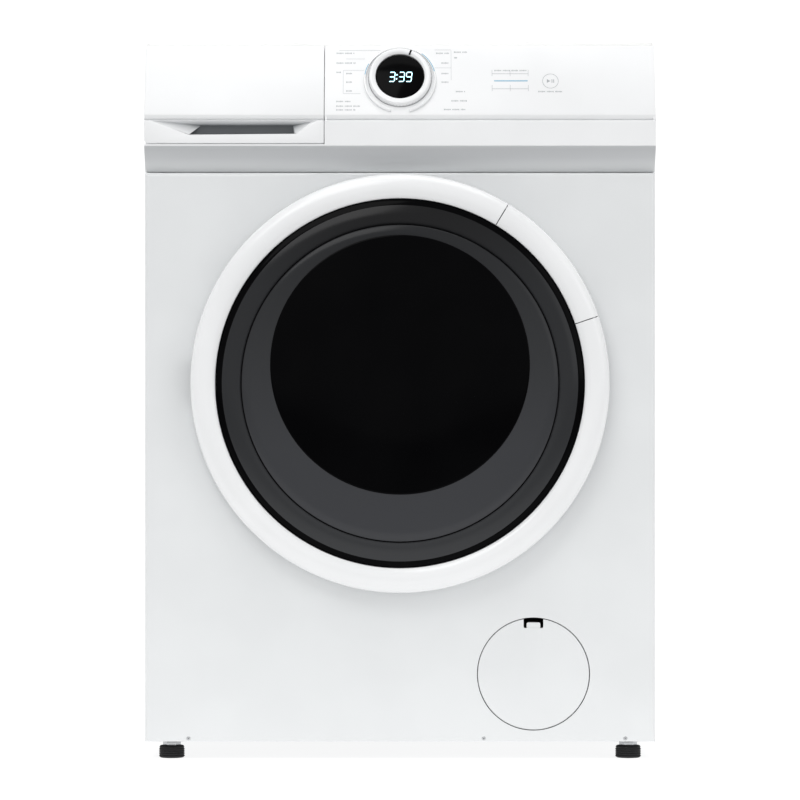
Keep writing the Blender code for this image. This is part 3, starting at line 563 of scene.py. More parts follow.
@dataclass(frozen=True)
class Fade:
    """A satin or polished surface whose colour runs along one axis, from where light reaches to where it doesn't."""

    name: str
    stops: tuple[tuple[float, str], ...]
    low: float
    high: float
    axis: str = "Z"
    roughness: float = 0.16
    specular: float = 0.18

    def material(self) -> bpy.types.Material:
        """Builds the material, its colour running from low to high."""
        shader = Shader(self.name)
        place = shader.add("TexCoord").outputs["Object"]
        along = shader.add("SeparateXYZ", Vector=place).outputs[self.axis]
        share = shader.add("MapRange", Value=along, From_Min=self.low, From_Max=self.high).outputs["Result"]
        shader.set(Base_Color=shader.ramp(share, self.stops), Roughness=self.roughness)
        shader.set(Specular_IOR_Level=self.specular)
        shader.relief(shader.noise(4.0), 0.001)
        return shader.material


@dataclass(frozen=True)
class SeeThrough:
    """Clear pressed glass."""

    name: str
    colour: str
    roughness: float
    ior: float
    ripple_mm: float = 60.0

    def material(self) -> bpy.types.Material:
        """Builds the material, with the slow ripple that pressing leaves."""
        shader = Shader(self.name)
        shader.set(Base_Color=linear(self.colour), Roughness=self.roughness, IOR=self.ior, Transmission_Weight=1.0)
        shader.relief(shader.noise(self.ripple_mm, 1.0), 0.05, 0.3)
        return shader.material


@dataclass(frozen=True)
class PerforatedSteel:
    """Stainless steel sheet with rows of small holes, and the fine lines of rolling in its gloss."""

    name: str
    colour: str
    roughness: float
    line_mm: float
    holes_mm: float
    vary: float = 0.07
    hole_edge: tuple[float, float] = (0.16, 0.20)

    def material(self) -> bpy.types.Material:
        """Builds the material, its holes dark and a little sunk."""
        shader = Shader(self.name)
        place = shader.add("TexCoord").outputs["Object"]
        stretched = shader.add("Mapping", Vector=place, Scale=(1.0, 0.03, 1.0)).outputs["Vector"]
        lines = shader.add("TexNoise", Vector=stretched, Scale=1000 / self.line_mm, Detail=3.0).outputs["Fac"]
        holes = shader.add("TexVoronoi", Vector=place, Scale=1000 / self.holes_mm, Randomness=0.0).outputs["Distance"]
        dark, clear = self.hole_edge
        shader.set(Metallic=1.0, Roughness=shader.spread(lines, self.roughness, self.vary))
        shader.set(Base_Color=shader.ramp(holes, ((dark, "0A0A0B"), (clear, self.colour))))
        shader.relief(holes, 0.3, 0.4)
        return shader.material


@dataclass(frozen=True)
class Glow:
    """A lit segment behind a dark lens, or a print with a little painted glow."""

    name: str
    colour: str
    strength: float

    def material(self) -> bpy.types.Material:
        """Builds the glowing material."""
        shader = Shader(self.name)
        shader.set(Base_Color=linear(self.colour), Roughness=0.4, Emission_Color=linear(self.colour))
        shader.set(Emission_Strength=self.strength)
        return shader.material


class Surface(Enum):
    """The finishes that the machine's parts have."""

    # Baked enamel on pressed steel: smooth, with a very slight orange peel about 2 mm across.
    ENAMEL = Finish("enamelled_steel", "E9EBEC", "E6E8E9", 0.30, 0.03, coat=0.25, grain_mm=2.2, grain_depth_mm=0.012)
    # Moulded white ABS: brighter than the enamel, satin, with a fine mould texture.
    ABS = Finish("white_abs", "F6F7F8", "F3F4F5", 0.34, grain_mm=0.7, grain_depth_mm=0.006)
    # The same ABS polished in the mould, on the door ring, the handle and the dial: clean highlights.
    GLOSS_ABS = Finish(
        "polished_white_abs", "F3F4F5", "F0F1F2", 0.20, 0.03, coat=0.35, grain_mm=1.5, grain_depth_mm=0.003
    )
    # Melamine-faced worktop: matte white with a fine pearl texture.
    MELAMINE = Finish("melamine_worktop", "F4F4F3", "F1F1F0", 0.48, 0.06, grain_mm=0.9, grain_depth_mm=0.02)
    # Moulded grey polypropylene of the inner parts: dull, a little mottled.
    POLYPROPYLENE = Finish("grey_polypropylene", "7E8286", "74787C", 0.52, 0.06, grain_mm=0.8, grain_depth_mm=0.02)
    # Polished black acrylic of the display and the window's rim: near black, with a weak reflection.
    BLACK_ACRYLIC = Finish(
        "black_acrylic", "050506", "030304", 0.10, 0.02, specular=0.04, grain_mm=3.0, grain_depth_mm=0.001
    )
    # Smoked polycarbonate of the window's band: dark grey, polished, with a painted reflection that makes it paler
    # towards its foot.
    SMOKED_PAINTED_REFLECTION = Fade(
        "smoked_polycarbonate_painted_reflection", ((0.0, "38393B"), (0.35, "2E2F31"), (0.75, "28292B"), (1.0, "151516")), 0.23, 0.65
    )
    # The smoked field inside the groove, a little paler than the band, with a painted reflection that makes it paler
    # towards its foot.
    SMOKED_FIELD_PAINTED_REFLECTION = Fade(
        "smoked_field_painted_reflection", ((0.0, "3E3F42"), (0.30, "3B3C3F"), (0.60, "323335"), (1.0, "242527")), 0.25, 0.62
    )
    # Moulded black rubber of the feet, belt and inner hoses: dull, with dust in the grain.
    RUBBER = Finish("black_rubber", "1B1B1C", "141415", 0.74, 0.08, grain_mm=0.6, grain_depth_mm=0.03)
    # Moulded grey rubber of the door seal and drain hose: soft and even.
    GREY_RUBBER = Finish("grey_rubber", "6B6E71", "626568", 0.62, 0.06, grain_mm=0.8, grain_depth_mm=0.02)
    # Cast concrete weights: rough, with pores and darker patches.
    CONCRETE = Finish("cast_concrete", "A09C95", "8A867F", 0.92, 0.05, grain_mm=3.0, grain_depth_mm=0.25, patch_mm=30.0)
    # Die-cast aluminium: grey and slightly grainy.
    CAST_ALUMINIUM = Finish("cast_aluminium", "B9BCBF", "AEB1B4", 0.42, 0.07, 1.0, grain_mm=1.2, grain_depth_mm=0.03)
    # Sprayed dark paint of the motor's shell: satin and even.
    MOTOR_PAINT = Finish("motor_paint", "3A3D40", "303336", 0.45, 0.06, grain_depth_mm=0.02)
    # Green solder resist of the board.
    BOARD = Finish("circuit_board", "1F6B3B", "17522D", 0.42, 0.06, grain_mm=1.5, grain_depth_mm=0.02)
    # Zinc-plated steel of screws, hinge and springs: bright, faintly uneven.
    ZINC = Finish("zinc_plated_steel", "C4C6C8", "B4B6B8", 0.30, 0.06, 1.0, grain_mm=1.2)
    # The same white ABS in the recess under the fascia, with painted shade: greyer the deeper it curves in under the
    # band.
    SHADED_ABS = Fade(
        "shaded_abs", ((0.0, "DFE1E2"), (0.5, "C8CACC"), (0.90, "BEC0C2"), (0.94, "F3F4F5")), 0.687, 0.7175,
        roughness=0.5, specular=0.3,
    )
    # The inside of the drawer's finger scoop, with painted shade: greyer the deeper it goes.
    SCOOP_SHADE = Fade(
        "scoop_painted_shade", ((0.0, "EEEFF0"), (0.6, "CFD1D3"), (0.93, "96999C"), (0.99, "606366")), -0.2585, -0.2474, "Y",
        roughness=0.5, specular=0.3,
    )
    # Pale grey screen print on the fascia: flat and matte.
    PRINT = Finish("grey_screen_print", "B4B7BA", "B0B3B6", 0.5, 0.02, grain_mm=0.4, grain_depth_mm=0.002)
    # Perforated stainless sheet of the drum. Its holes are drawn 16 mm apart, coarser than real ones, so they show.
    DRUM_STEEL = PerforatedSteel("perforated_drum_steel", "C9CBCD", 0.26, 0.8, 16.0)
    # Clear pressed glass of the door's bowl: polished, with a faint cool tint.
    GLASS = SeeThrough("pressed_glass", "DDE6E8", 0.02, 1.52)
    # Ice-white lit digits behind the display.
    LIT_DIGITS = Glow("lit_digits", "BFF3FF", 2.2)
    # Blue screen print, with just enough painted glow, though it is no lamp, to keep its colour on the white.
    BLUE_PRINT_PAINTED_GLOW = Glow("blue_screen_print_painted_glow", "3FA0C4", 0.05)


_MADE: dict[Surface, bpy.types.Material] = {}


def dress(made: Piece, surface: Surface) -> Piece:
    """Gives a piece or a CAD node one of the machine's finishes.

    Args:
        made: The piece or node.
        surface: Its finish.

    Returns:
        The piece or node.
    """
    if surface not in _MADE:
        _MADE[surface] = surface.value.material()
    made.data.materials.clear()
    made.data.materials.append(_MADE[surface])
    return made


def fit(made: Piece, surface: Surface, body: str, slot: str, *nodes: str) -> Piece:
    """Dresses a piece, rides it on its body and hides the CAD nodes that it stands for.

    Args:
        made: The piece.
        surface: Its finish.
        body: The CAD body that it moves with.
        slot: The record's material slot, which is not used.
        nodes: The CAD nodes that it replaces.

    Returns:
        The piece.
    """
    dress(made, surface)
    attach(made, body)
    if nodes:
        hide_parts(*nodes)
    LOG.info("%s rides on %s", made.name, body)
    return made


def flex(made: Piece, surface: Surface, node: str) -> Piece:
    """Dresses a piece that is held by the case at its start and by the tub at its end.

    Args:
        made: The piece.
        surface: Its finish.
        node: The CAD node that it replaces.

    Returns:
        The piece.
    """
    dress(made, surface)
    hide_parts(node)
    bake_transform(made)
    LOG.info("%s bends between the case and the tub", made.name)
    return made


def dress_nodes(looks: dict[Surface, str]) -> None:
    """Dresses CAD nodes that keep their own shape.

    Args:
        looks: The nodes' names, parted by spaces, by finish.
    """
    for surface, nodes in looks.items():
        for node in nodes.split():
            dress(bpy.data.objects[node], surface)


def studs(name: str, outline: Sequence[Point], places: Iterable[Point], steps: int = 20) -> Piece:
    """Turns one small outline at several places on the front or the back.

    Args:
        name: The joined piece's name.
        outline: (radius, distance towards the front) points.
        places: Where each one sits, as (x, z).
        steps: Steps round each one.

    Returns:
        All of them as one piece.
    """
    made = [turned(f"{name}_{i}", outline, (x, 0, z), steps=steps) for i, (x, z) in enumerate(places)]
    return joined(name, made)


@dataclass
class Casing:
    """The enamelled case with its dished front, the worktop, the back and the base."""

    half_width: float = 0.2975
    bottom: float = 0.021
    top: float = 0.6848
    return_depth: float = 0.012
    corner: float = 0.0045
    corner_steps: int = 5
    dish_depth: float = 0.0012
    dish_from: float = 0.2440
    dish_to: float = 0.2900
    opening: float = 0.168
    cut_reach: float = 0.30
    hinge_slot: tuple[float, float, float] = (-0.227, -0.200, 0.026)
    lock_slot: tuple[float, float, float] = (0.212, 0.236, 0.012)
    skin: float = 0.0004
    cover_z: float = 0.40
    screw_circle: float = 0.178

    def dish(self, x: float, z: float) -> float:
        """Gives how far back the front is pressed by the soft dish round the door.

        Args:
            x: Metres to the right of the middle.
            z: Metres above the floor.

        Returns:
            The depth there.
        """
        far = hypot(x, z - AXIS_Z)
        t = min(1.0, max(0.0, (self.dish_to - far) / (self.dish_to - self.dish_from)))
        return self.dish_depth * t * t * (3 - 2 * t)

    def rounded_run(self, low: float, high: float, count: int) -> list[Point]:
        """Gives a run over the front from one folded edge to the other.

        Args:
            low: Where it starts.
            high: Where it ends.
            count: Spans in the flat between its two rounded corners.

        Returns:
            (place, depth back) pairs.
        """
        turns = [pi / 2 * i / self.corner_steps for i in range(self.corner_steps + 1)]
        left = [(low + self.corner * (1 - sin(a)), self.corner * (1 - cos(a))) for a in reversed(turns)]
        flat_low, flat_high = low + self.corner, high - self.corner
        middle = [(flat_low + (flat_high - flat_low) * i / count, 0.0) for i in range(1, count)]
        right = [(high - self.corner * (1 - sin(a)), self.corner * (1 - cos(a))) for a in turns]
        return [(low, self.return_depth), *left, *middle, *right, (high, self.return_depth)]

    def front(self, flap: Flap) -> Piece:
        """Builds the pressed front.

        Args:
            flap: The filter flap that it has an opening for.

        Returns:
            The front, open at the door, the flap, the hinge and the lock.
        """
        shape = bmesh.new()
        columns = self.rounded_run(-self.half_width, self.half_width, 110)
        rows = self.rounded_run(self.bottom, self.top, 124)
        grid = [
            [shape.verts.new((x, FRONT_Y + max(back, behind, self.dish(x, z)), z)) for x, back in columns]
            for z, behind in rows
        ]
        for low, high in zip(grid, grid[1:]):
            for i in range(len(low) - 1):
                shape.faces.new((low[i], low[i + 1], high[i + 1], high[i]))
        front = piece_from("front_skin", shape)
        shell = front.modifiers.new("sheet", "SOLIDIFY")
        shell.thickness, shell.offset = self.skin, -1.0
        cutters = []
        for name, radius, centre in (("door", self.opening, (0.0, 0.0, AXIS_Z)), ("flap", flap.hole, flap.centre)):
            bar = oblong(0, radius, -self.cut_reach, self.cut_reach)
            cutters.append(turned(f"{name}_cutter", bar, centre, steps=96))
        for name, (left, right, half) in (("hinge", self.hinge_slot), ("lock", self.lock_slot)):
            cutters.append(block(f"{name}_cutter", (left, -0.27, AXIS_Z - half), (right, -0.22, AXIS_Z + half)))
        return carve(front, *cutters)

    def worktop(self) -> Piece:
        """Builds the worktop board with its rounded edge trim."""
        low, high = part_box("top_panel")
        return block("worktop_board", low, high, bevel=0.004, segments=4)

    def back(self) -> None:
        """Builds and dresses the dished cover, the screws and the transport-bolt caps of the back."""
        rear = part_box("rear_panel")[1].y
        profiles = {
            "service_cover": (
                (0, 0.0050), (0.160, 0.0050), (0.167, 0.0042), (0.173, 0.0016), (0.185, 0.0013), (0.185, 0.0003),
                (0.170, 0.0003), (0.160, 0.0036), (0, 0.0036),
            ),
            "cover_screws": ((0, 0.0040), (0.0025, 0.0038), (0.0042, 0.0018), (0.0042, 0.0014), (0, 0.0014)),
            "edge_screws": ((0, 0.0024), (0.0025, 0.0022), (0.0042, 0.0004), (0, 0.0004)),
            "transport_bolt_caps": ((0, 0.0030), (0.012, 0.0028), (0.016, 0.0012), (0.016, 0.0003), (0, 0.0003)),
        }
        lines = {name: [(r, -rear - out) for r, out in profile] for name, profile in profiles.items()}
        cover = turned("service_cover", lines["service_cover"], (0, 0, self.cover_z), steps=96)
        fit(cover, Surface.ENAMEL, "root", "enamel_white", "rear_cover")
        ring = arc(self.screw_circle, 0, TURN, 8, (0, self.cover_z))[:-1]
        edges = [(side * 0.283, z) for side in (-1, 1) for z in (0.06, 0.30, 0.55, 0.80)]
        screws = [studs("cover_screws", lines["cover_screws"], ring), studs("edge_screws", lines["edge_screws"], edges)]
        fit(joined("back_screws", screws), Surface.ZINC, "root", "steel")
        places = ((-0.225, 0.62), (0.215, 0.60), (-0.225, 0.20), (0.225, 0.20))
        caps = studs("transport_bolt_caps", lines["transport_bolt_caps"], places, 32)
        fit(caps, Surface.POLYPROPYLENE, "root", "plastic_grey")

    def build(self, flap: Flap) -> None:
        """Builds and dresses the whole case.

        Args:
            flap: The filter flap that the front has an opening for.
        """
        fit(self.front(flap), Surface.ENAMEL, "root", "enamel_white", "front_panel")
        head = ((0, 0.24655), (0.0010, 0.24685), (0.0019, 0.24685), (0.0024, 0.24655))
        screws = studs("front_screws", head, ((-0.2466, 0.0252), (0.0976, 0.0252), (0.2627, 0.0252)))
        fit(screws, Surface.ZINC, "root", "steel")
        fit(self.worktop(), Surface.MELAMINE, "root", "plastic_white", "top_panel")
        self.back()


@dataclass
class Fascia:
    """The control fascia: lower band, leaning plate and hollow recess, with its prints."""

    left: float = -0.0879
    right: float = 0.2975
    band_bottom: float = 0.7150
    groove: float = 0.7455
    groove_height: float = 0.0017
    groove_depth: float = 0.0042
    bottom: float = 0.686
    recess_depth: float = 0.021
    wall: float = 0.0022
    plate_wall: float = 0.0026
    end_inset: float = 0.0006
    end_top: float = 0.8250
    collar_inner: float = 0.0400
    collar_outer: float = 0.0424
    collar_height: float = 0.0036
    collar_drop: float = 0.0028
    collar_gap: float = radians(30.0)
    print_from: float = 0.00006
    print_to: float = 0.00014
    letter_pitch: float = 0.0014
    letter_width: float = 0.0009
    letter_heights: tuple[float, float] = (0.0013, 0.0018)
    scale_middle: float = 0.1285
    scale_pitch: float = 0.0211
    start_place: Point = (0.1755, -0.0040)

    def recess(self) -> list[Point]:
        """Gives the hollow curve below the band, from front to back."""
        bulge = ((0.0, 1.0), (0.10, 0.88), (0.26, 0.72), (0.48, 0.50), (0.70, 0.30), (0.88, 0.12), (1.0, 0.0))
        high = self.band_bottom - self.bottom
        return [(FASCIA_Y + self.recess_depth * back, self.bottom + high * up) for back, up in bulge]

    def skin_line(self) -> list[Point]:
        """Gives the outer line as (y, z) from the top edge down to the groove's lower side."""
        groove_top = self.groove + self.groove_height / 2
        groove_low = self.groove - self.groove_height / 2
        return [
            (FASCIA_TOP_Y, FACE_TOP),
            (face_y(FACE_TOP) + 0.0010, FACE_TOP),
            (face_y(FACE_TOP - 0.0016), FACE_TOP - 0.0016),
            (FASCIA_Y + 0.0003, FACE_BOTTOM + 0.0008),
            (FASCIA_Y + 0.0002, FACE_BOTTOM - 0.0002),
            (FASCIA_Y + 0.0026, groove_top + 0.0002),
            (FASCIA_Y + self.groove_depth, groove_top),
            (FASCIA_Y + self.groove_depth, groove_low),
            (FASCIA_Y + 0.0006, groove_low),
            (FASCIA_Y, groove_low - 0.0006),
        ]

    def band(self) -> Piece:
        """Builds the full-width hollow band under the drawer and the plate."""
        line, wall = self.recess(), self.wall
        inner = [(y + wall, z + wall * 0.8) for y, z in reversed(line)]
        lip_y, lip_top = FASCIA_Y + 0.0003, self.band_bottom + 0.0022
        back = [(FASCIA_BACK_Y, self.bottom), (FASCIA_BACK_Y, self.bottom + wall)]
        outline = [(lip_y, self.band_bottom), *line[1:], *back, *inner, (FASCIA_Y + wall, lip_top), (lip_y, lip_top)]
        return pushed("fascia_band", outline, -self.right, self.right, Way.ACROSS, smooth_under=30)

    def plate(self, dial: Dial) -> Piece:
        """Builds the leaning plate and the upright band under it.

        Args:
            dial: The dial that it has a hole for.

        Returns:
            The plate.
        """
        wall, low = self.plate_wall, self.band_bottom + 0.0002
        outer = self.skin_line() + [(FASCIA_Y, low + 0.0006), (FASCIA_Y + 0.0006, low)]
        inner = [
            (FASCIA_Y + wall, low),
            (FASCIA_Y + wall * 1.6, self.groove - 0.004),
            (FASCIA_Y + wall * 3.2, self.groove),
            (FASCIA_Y + wall * 1.6, FACE_BOTTOM + 0.004),
            (face_y(FACE_TOP) + wall, FACE_TOP - wall),
            (FASCIA_TOP_Y, FACE_TOP - wall),
        ]
        plate = pushed("fascia_plate", outer + inner, self.left, self.right, Way.ACROSS, bevel=0.0008)
        hole = dial.knob_radius + dial.clearance
        return carve(plate, turned("dial_cutter", oblong(0, hole, -0.03, 0.03), DIAL, Way.FACE, steps=96))

    def end(self, x_low: float, x_high: float, name: str) -> Piece:
        """Builds a wall that closes the fascia's end.

        Args:
            x_low: Its left side.
            x_high: Its right side.
            name: The piece's name.

        Returns:
            The wall.
        """
        inset = self.end_inset
        outline = [(y + inset, z) for y, z in self.skin_line()[1:4]]
        outline += [(FASCIA_Y + inset, self.band_bottom)]
        outline += [(y + inset, z + inset * 0.4) for y, z in self.recess()[1:]]
        outline += [(FASCIA_BACK_Y, self.bottom + inset), (FASCIA_BACK_Y, self.end_top)]
        outline += [(FASCIA_TOP_Y, self.end_top), (FASCIA_TOP_Y, FACE_TOP - inset)]
        return pushed(name, outline, x_low, x_high, Way.ACROSS)

    def collar(self) -> Piece:
        """Builds the raised arc round the dial, open at the bottom and set a little below the dial's centre."""
        inner, outer, high = self.collar_inner, self.collar_outer, self.collar_height
        outline = soft_corners([(inner, -0.0006), (inner, high), (outer, high - 0.0006), (outer, -0.0006)], 0.0008, 4)
        start, sweep = 1.5 * pi + self.collar_gap / 2, TURN - self.collar_gap
        return turned("dial_collar", outline, on_face(0, -self.collar_drop), Way.FACE, 110, start, sweep)

    def collar_marks(self) -> list[Piece]:
        """Builds the two blue arcs printed on the collar."""
        middle, low = (self.collar_inner + self.collar_outer) / 2, self.collar_height - 0.0004
        left, right, high = middle - 0.0003, middle + 0.0004, low + 0.0003
        outline = [(left, low), (left, high), (right, high), (right, low)]
        centre = on_face(0, -self.collar_drop)
        return [
            turned(f"collar_mark_{first}", outline, centre, Way.FACE, 24, radians(first), radians(last - first))
            for first, last in ((14, 52), (152, 172))
        ]

    def printed(self, name: str, outline: Sequence[Point], centre: Place = DIAL) -> Piece:
        """Builds one flat printed shape on the face."""
        return pushed(name, outline, self.print_from, self.print_to, Way.FACE, centre)

    def bar(self, name: str, x: float, up: float, width: float, height: float) -> Piece:
        """Builds one printed bar.

        Args:
            name: The piece's name.
            x: Its middle, to the right of the dial's centre.
            up: Its middle, up the slope from there.
            width: Its width.
            height: Its height.

        Returns:
            The bar.
        """
        return self.printed(name, oblong(x - width / 2, x + width / 2, up - height / 2, up + height / 2))

    def text_row(self, name: str, left: float, right: float, up: float) -> list[Piece]:
        """Builds a row of plain blocks of two heights, which says nothing.

        Args:
            name: The start of the pieces' names.
            left: Where the row starts.
            right: Where it ends.
            up: How far it is up the slope.

        Returns:
            The blocks, with a gap after every sixth.
        """
        pitch, (low, tall) = self.letter_pitch, self.letter_heights
        return [
            self.bar(f"{name}_{i}", left + (i + 0.5) * pitch, up, self.letter_width, low if i % 3 else tall)
            for i in range(max(2, round((right - left) / pitch)))
            if i % 7 != 6
        ]

    def prints(self) -> None:
        """Builds and dresses the prints: rows by the dial with brackets, two scales and the start ring."""
        rows = (
            (-0.0743, -0.0528, 0.0319), (-0.0743, -0.0515, 0.0192), (-0.0743, -0.0680, 0.0072),
            (-0.0629, -0.0561, 0.0057), (-0.0629, -0.0561, -0.0054), (-0.0629, -0.0561, -0.0168),
            (-0.0743, -0.0579, -0.0303), (-0.0743, -0.0465, -0.0363), (-0.0743, -0.0515, -0.0411),
            (0.0420, 0.0572, 0.0319), (0.0483, 0.0572, 0.0192), (0.0483, 0.0572, 0.0057), (0.0483, 0.0572, -0.0054),
            (0.0630, 0.0787, 0.0333), (0.0648, 0.0762, -0.0176), (0.0597, 0.0774, -0.0295), (0.0509, 0.0762, -0.0406),
            (0.1610, 0.1905, -0.0176), (0.1100, 0.1480, 0.0095),
        )
        bars = [bar for i, row in enumerate(rows) for bar in self.text_row(f"row_{i}", *row)]
        lines = (
            (-0.0662, -0.0052, 0.0003, 0.0300), (0.0597, 0.0165, 0.0003, 0.0390), (-0.0470, 0.0355, 0.0480, 0.0003),
            (-0.0520, 0.0245, 0.0220, 0.0003), (-0.0540, 0.0098, 0.0240, 0.0003), (-0.0560, -0.0202, 0.0200, 0.0003),
            (0.0500, 0.0362, 0.0190, 0.0003), (0.0500, 0.0130, 0.0190, 0.0003), (0.0650, 0.0260, 0.0032, 0.0014),
        )
        bars += [self.bar(f"line_{i}", *line) for i, line in enumerate(lines)]
        for up in (0.0054, -0.0140):
            bars.append(self.bar(f"scale_{up}", self.scale_middle, up, 0.0424, 0.0005))
            for i in (-1, 0, 1):
                x = self.scale_middle + i * self.scale_pitch
                bars.append(self.bar(f"stop_{up}_{i}", x, up + 0.0010, 0.0004, 0.0080))
        x, up = self.start_place
        centre = on_face(x, up)
        bars.append(turned("start_ring", oblong(0.0089, 0.0094, self.print_from, self.print_to), centre, Way.FACE, 64))
        bars.append(self.printed("start_sign", [(-0.0042, -0.0024), (-0.0002, 0.0), (-0.0042, 0.0024)], centre))
        bars += [self.bar(f"pause_sign_{right}", x + right, up, 0.0009, 0.0044) for right in (0.0018, 0.0038)]
        fit(joined("fascia_prints", bars), Surface.PRINT, "root", "plastic_grey")
        # The blue prints carry a faint painted glow.
        blue = [self.bar("level_line", 0.1294, -0.0038, 0.0390, 0.0010), *self.collar_marks()]
        fit(joined("level_marks", blue), Surface.BLUE_PRINT_PAINTED_GLOW, "root", "plastic_grey")

    def build(self, dial: Dial) -> None:
        """Builds and dresses the fascia.

        Args:
            dial: The dial that it has a hole for.
        """
        fit(self.plate(dial), Surface.ABS, "root", "plastic_white", "control_fascia")
        # The recess under the band carries painted shade, greyer towards its top.
        fit(self.band(), Surface.SHADED_ABS, "root", "plastic_white")
        right_end = self.end(self.right - 0.0030, self.right - 0.0008, "right_end")
        divider = self.end(self.left + 0.0010, self.left + 0.0030, "divider")
        fit(joined("fascia_ends", [right_end, divider]), Surface.ABS, "root", "plastic_white")
        left = [(-0.2365, 0.6868), (-0.2425, 0.7090), (-0.2445, 0.7210), (-0.2445, 0.7510), (-0.2160, self.end_top)]
        left += [(FASCIA_BACK_Y, self.end_top), (FASCIA_BACK_Y, 0.6868)]
        left_end = pushed("fascia_left_end", left, -0.2967, -0.2945, Way.ACROSS)
        fit(left_end, Surface.ABS, "root", "plastic_white")
        fit(self.collar(), Surface.GLOSS_ABS, "root", "plastic_white")
        self.prints()


@dataclass
class Dial:
    """The programme ring round the round display."""

    knob_radius: float = 0.0364
    clearance: float = 0.0009
    lens_radius: float = 0.0279
    rib_count: int = 60
    pointer_angle: float = radians(68)
    digit_height: float = 0.0118
    digit_width: float = 0.0062
    stroke: float = 0.0009
    lit_from: float = 0.0054
    lit_to: float = 0.0061
    drop: float = 0.0014
    lean: float = 0.10

    def knob(self) -> Piece:
        """Builds the turning ring with its skirt and the fine ribs round it."""
        inner, outer = self.lens_radius + 0.0008, self.knob_radius
        outline = [
            (inner, 0.0052), (inner + 0.0014, 0.0064), (0.0325, 0.0074), (0.0350, 0.0068), (outer, 0.0048),
            (outer, -0.0045), (0.0398, -0.0045), (0.0398, -0.0068), (inner, -0.0068),
        ]
        pieces = [turned("programme_ring", outline, DIAL, Way.FACE)]
        rib = [(0, 0.0), (0.0005, 0.0), (0.0005, 0.0046), (0, 0.0050)]
        for i, (x, up) in enumerate(arc(outer + 0.0001, 0, TURN, self.rib_count)[:-1]):
            pieces.append(turned(f"rib_{i}", rib, on_face(x, up), Way.FACE, steps=6))
        return joined("programme_ring", pieces)

    def tick(self) -> Piece:
        """Builds the dark pointer on the ring."""
        out = Vector((cos(self.pointer_angle), sin(self.pointer_angle)))
        side = Vector((-out.y, out.x))
        corners = ((0.0290, -0.0008), (0.0350, -0.0010), (0.0350, 0.0010), (0.0290, 0.0008))
        outline = [tuple(out * far + side * aside) for far, aside in corners]
        return pushed("ring_pointer", outline, 0.0060, 0.0077, Way.FACE, DIAL)

    def lens(self) -> Piece:
        """Builds the slightly domed black display lens and its stem."""
        rim = self.lens_radius
        outline = [
            (0, 0.0058), (0.012, 0.0056), (0.022, 0.0050), (rim - 0.0006, 0.0042), (rim, 0.0034), (rim, 0.0006),
            (0.020, 0.0006), (0.020, -0.0168), (0, -0.0168),
        ]
        return turned("round_display", outline, DIAL, Way.FACE, steps=96)

    def lit(self, name: str, outline: Sequence[Point]) -> Piece:
        """Builds one lit shape just above the lens."""
        return pushed(name, outline, self.lit_from, self.lit_to, Way.FACE, DIAL)

    def segment(self, name: str, x: float, up: float, across: bool) -> Piece:
        """Builds one lit bar of a seven-segment digit, leaning to the right.

        Args:
            name: The piece's name.
            x: Its middle, to the right of the dial's centre.
            up: Its middle, up the slope from there.
            across: Whether it lies, rather than stands.

        Returns:
            The bar.
        """
        long = (self.digit_width if across else self.digit_height / 2) - self.stroke * 0.9
        half, thick = long / 2, self.stroke / 2
        inner = half - thick
        bar = [(-half, 0.0), (-inner, -thick), (inner, -thick), (half, 0.0), (inner, thick), (-inner, thick)]
        if not across:
            bar = [(-b, a) for a, b in bar]
        return self.lit(name, [(x + a + (up + b) * self.lean, up + b - self.drop) for a, b in bar])

    def digits(self) -> Piece:
        """Builds a time of three digits with a colon."""
        high, wide = self.digit_height / 2, self.digit_width / 2
        places = {
            "a": (0, high, True), "b": (wide, high / 2, False), "c": (wide, -high / 2, False), "d": (0, -high, True),
            "f": (-wide, high / 2, False), "g": (0, 0, True),
        }
        bars = []
        for number, (x, letters) in enumerate(((-0.0092, "abgcd"), (0.0018, "abgcd"), (0.0104, "abcdfg"))):
            for letter in letters:
                right, up, across = places[letter]
                bars.append(self.segment(f"digit_{number}{letter}", x + right, up, across))
        for up in (-0.0026, 0.0026):
            dot = [(x - 0.0038 + up * self.lean, up + y - self.drop) for x, y in arc(0.0008, 0, TURN, 10)[:-1]]
            bars.append(self.lit(f"colon_{up}", dot))
        return joined("time_digits", bars)

    def build(self) -> None:
        """Builds and dresses the dial."""
        fit(self.knob(), Surface.GLOSS_ABS, "knob", "plastic_white", "programme_knob")
        fit(self.tick(), Surface.BLACK_ACRYLIC, "knob", "plastic_black")
        fit(self.lens(), Surface.BLACK_ACRYLIC, "root", "plastic_black", "display_lens")
        fit(self.digits(), Surface.LIT_DIGITS, "root", "plastic_black")


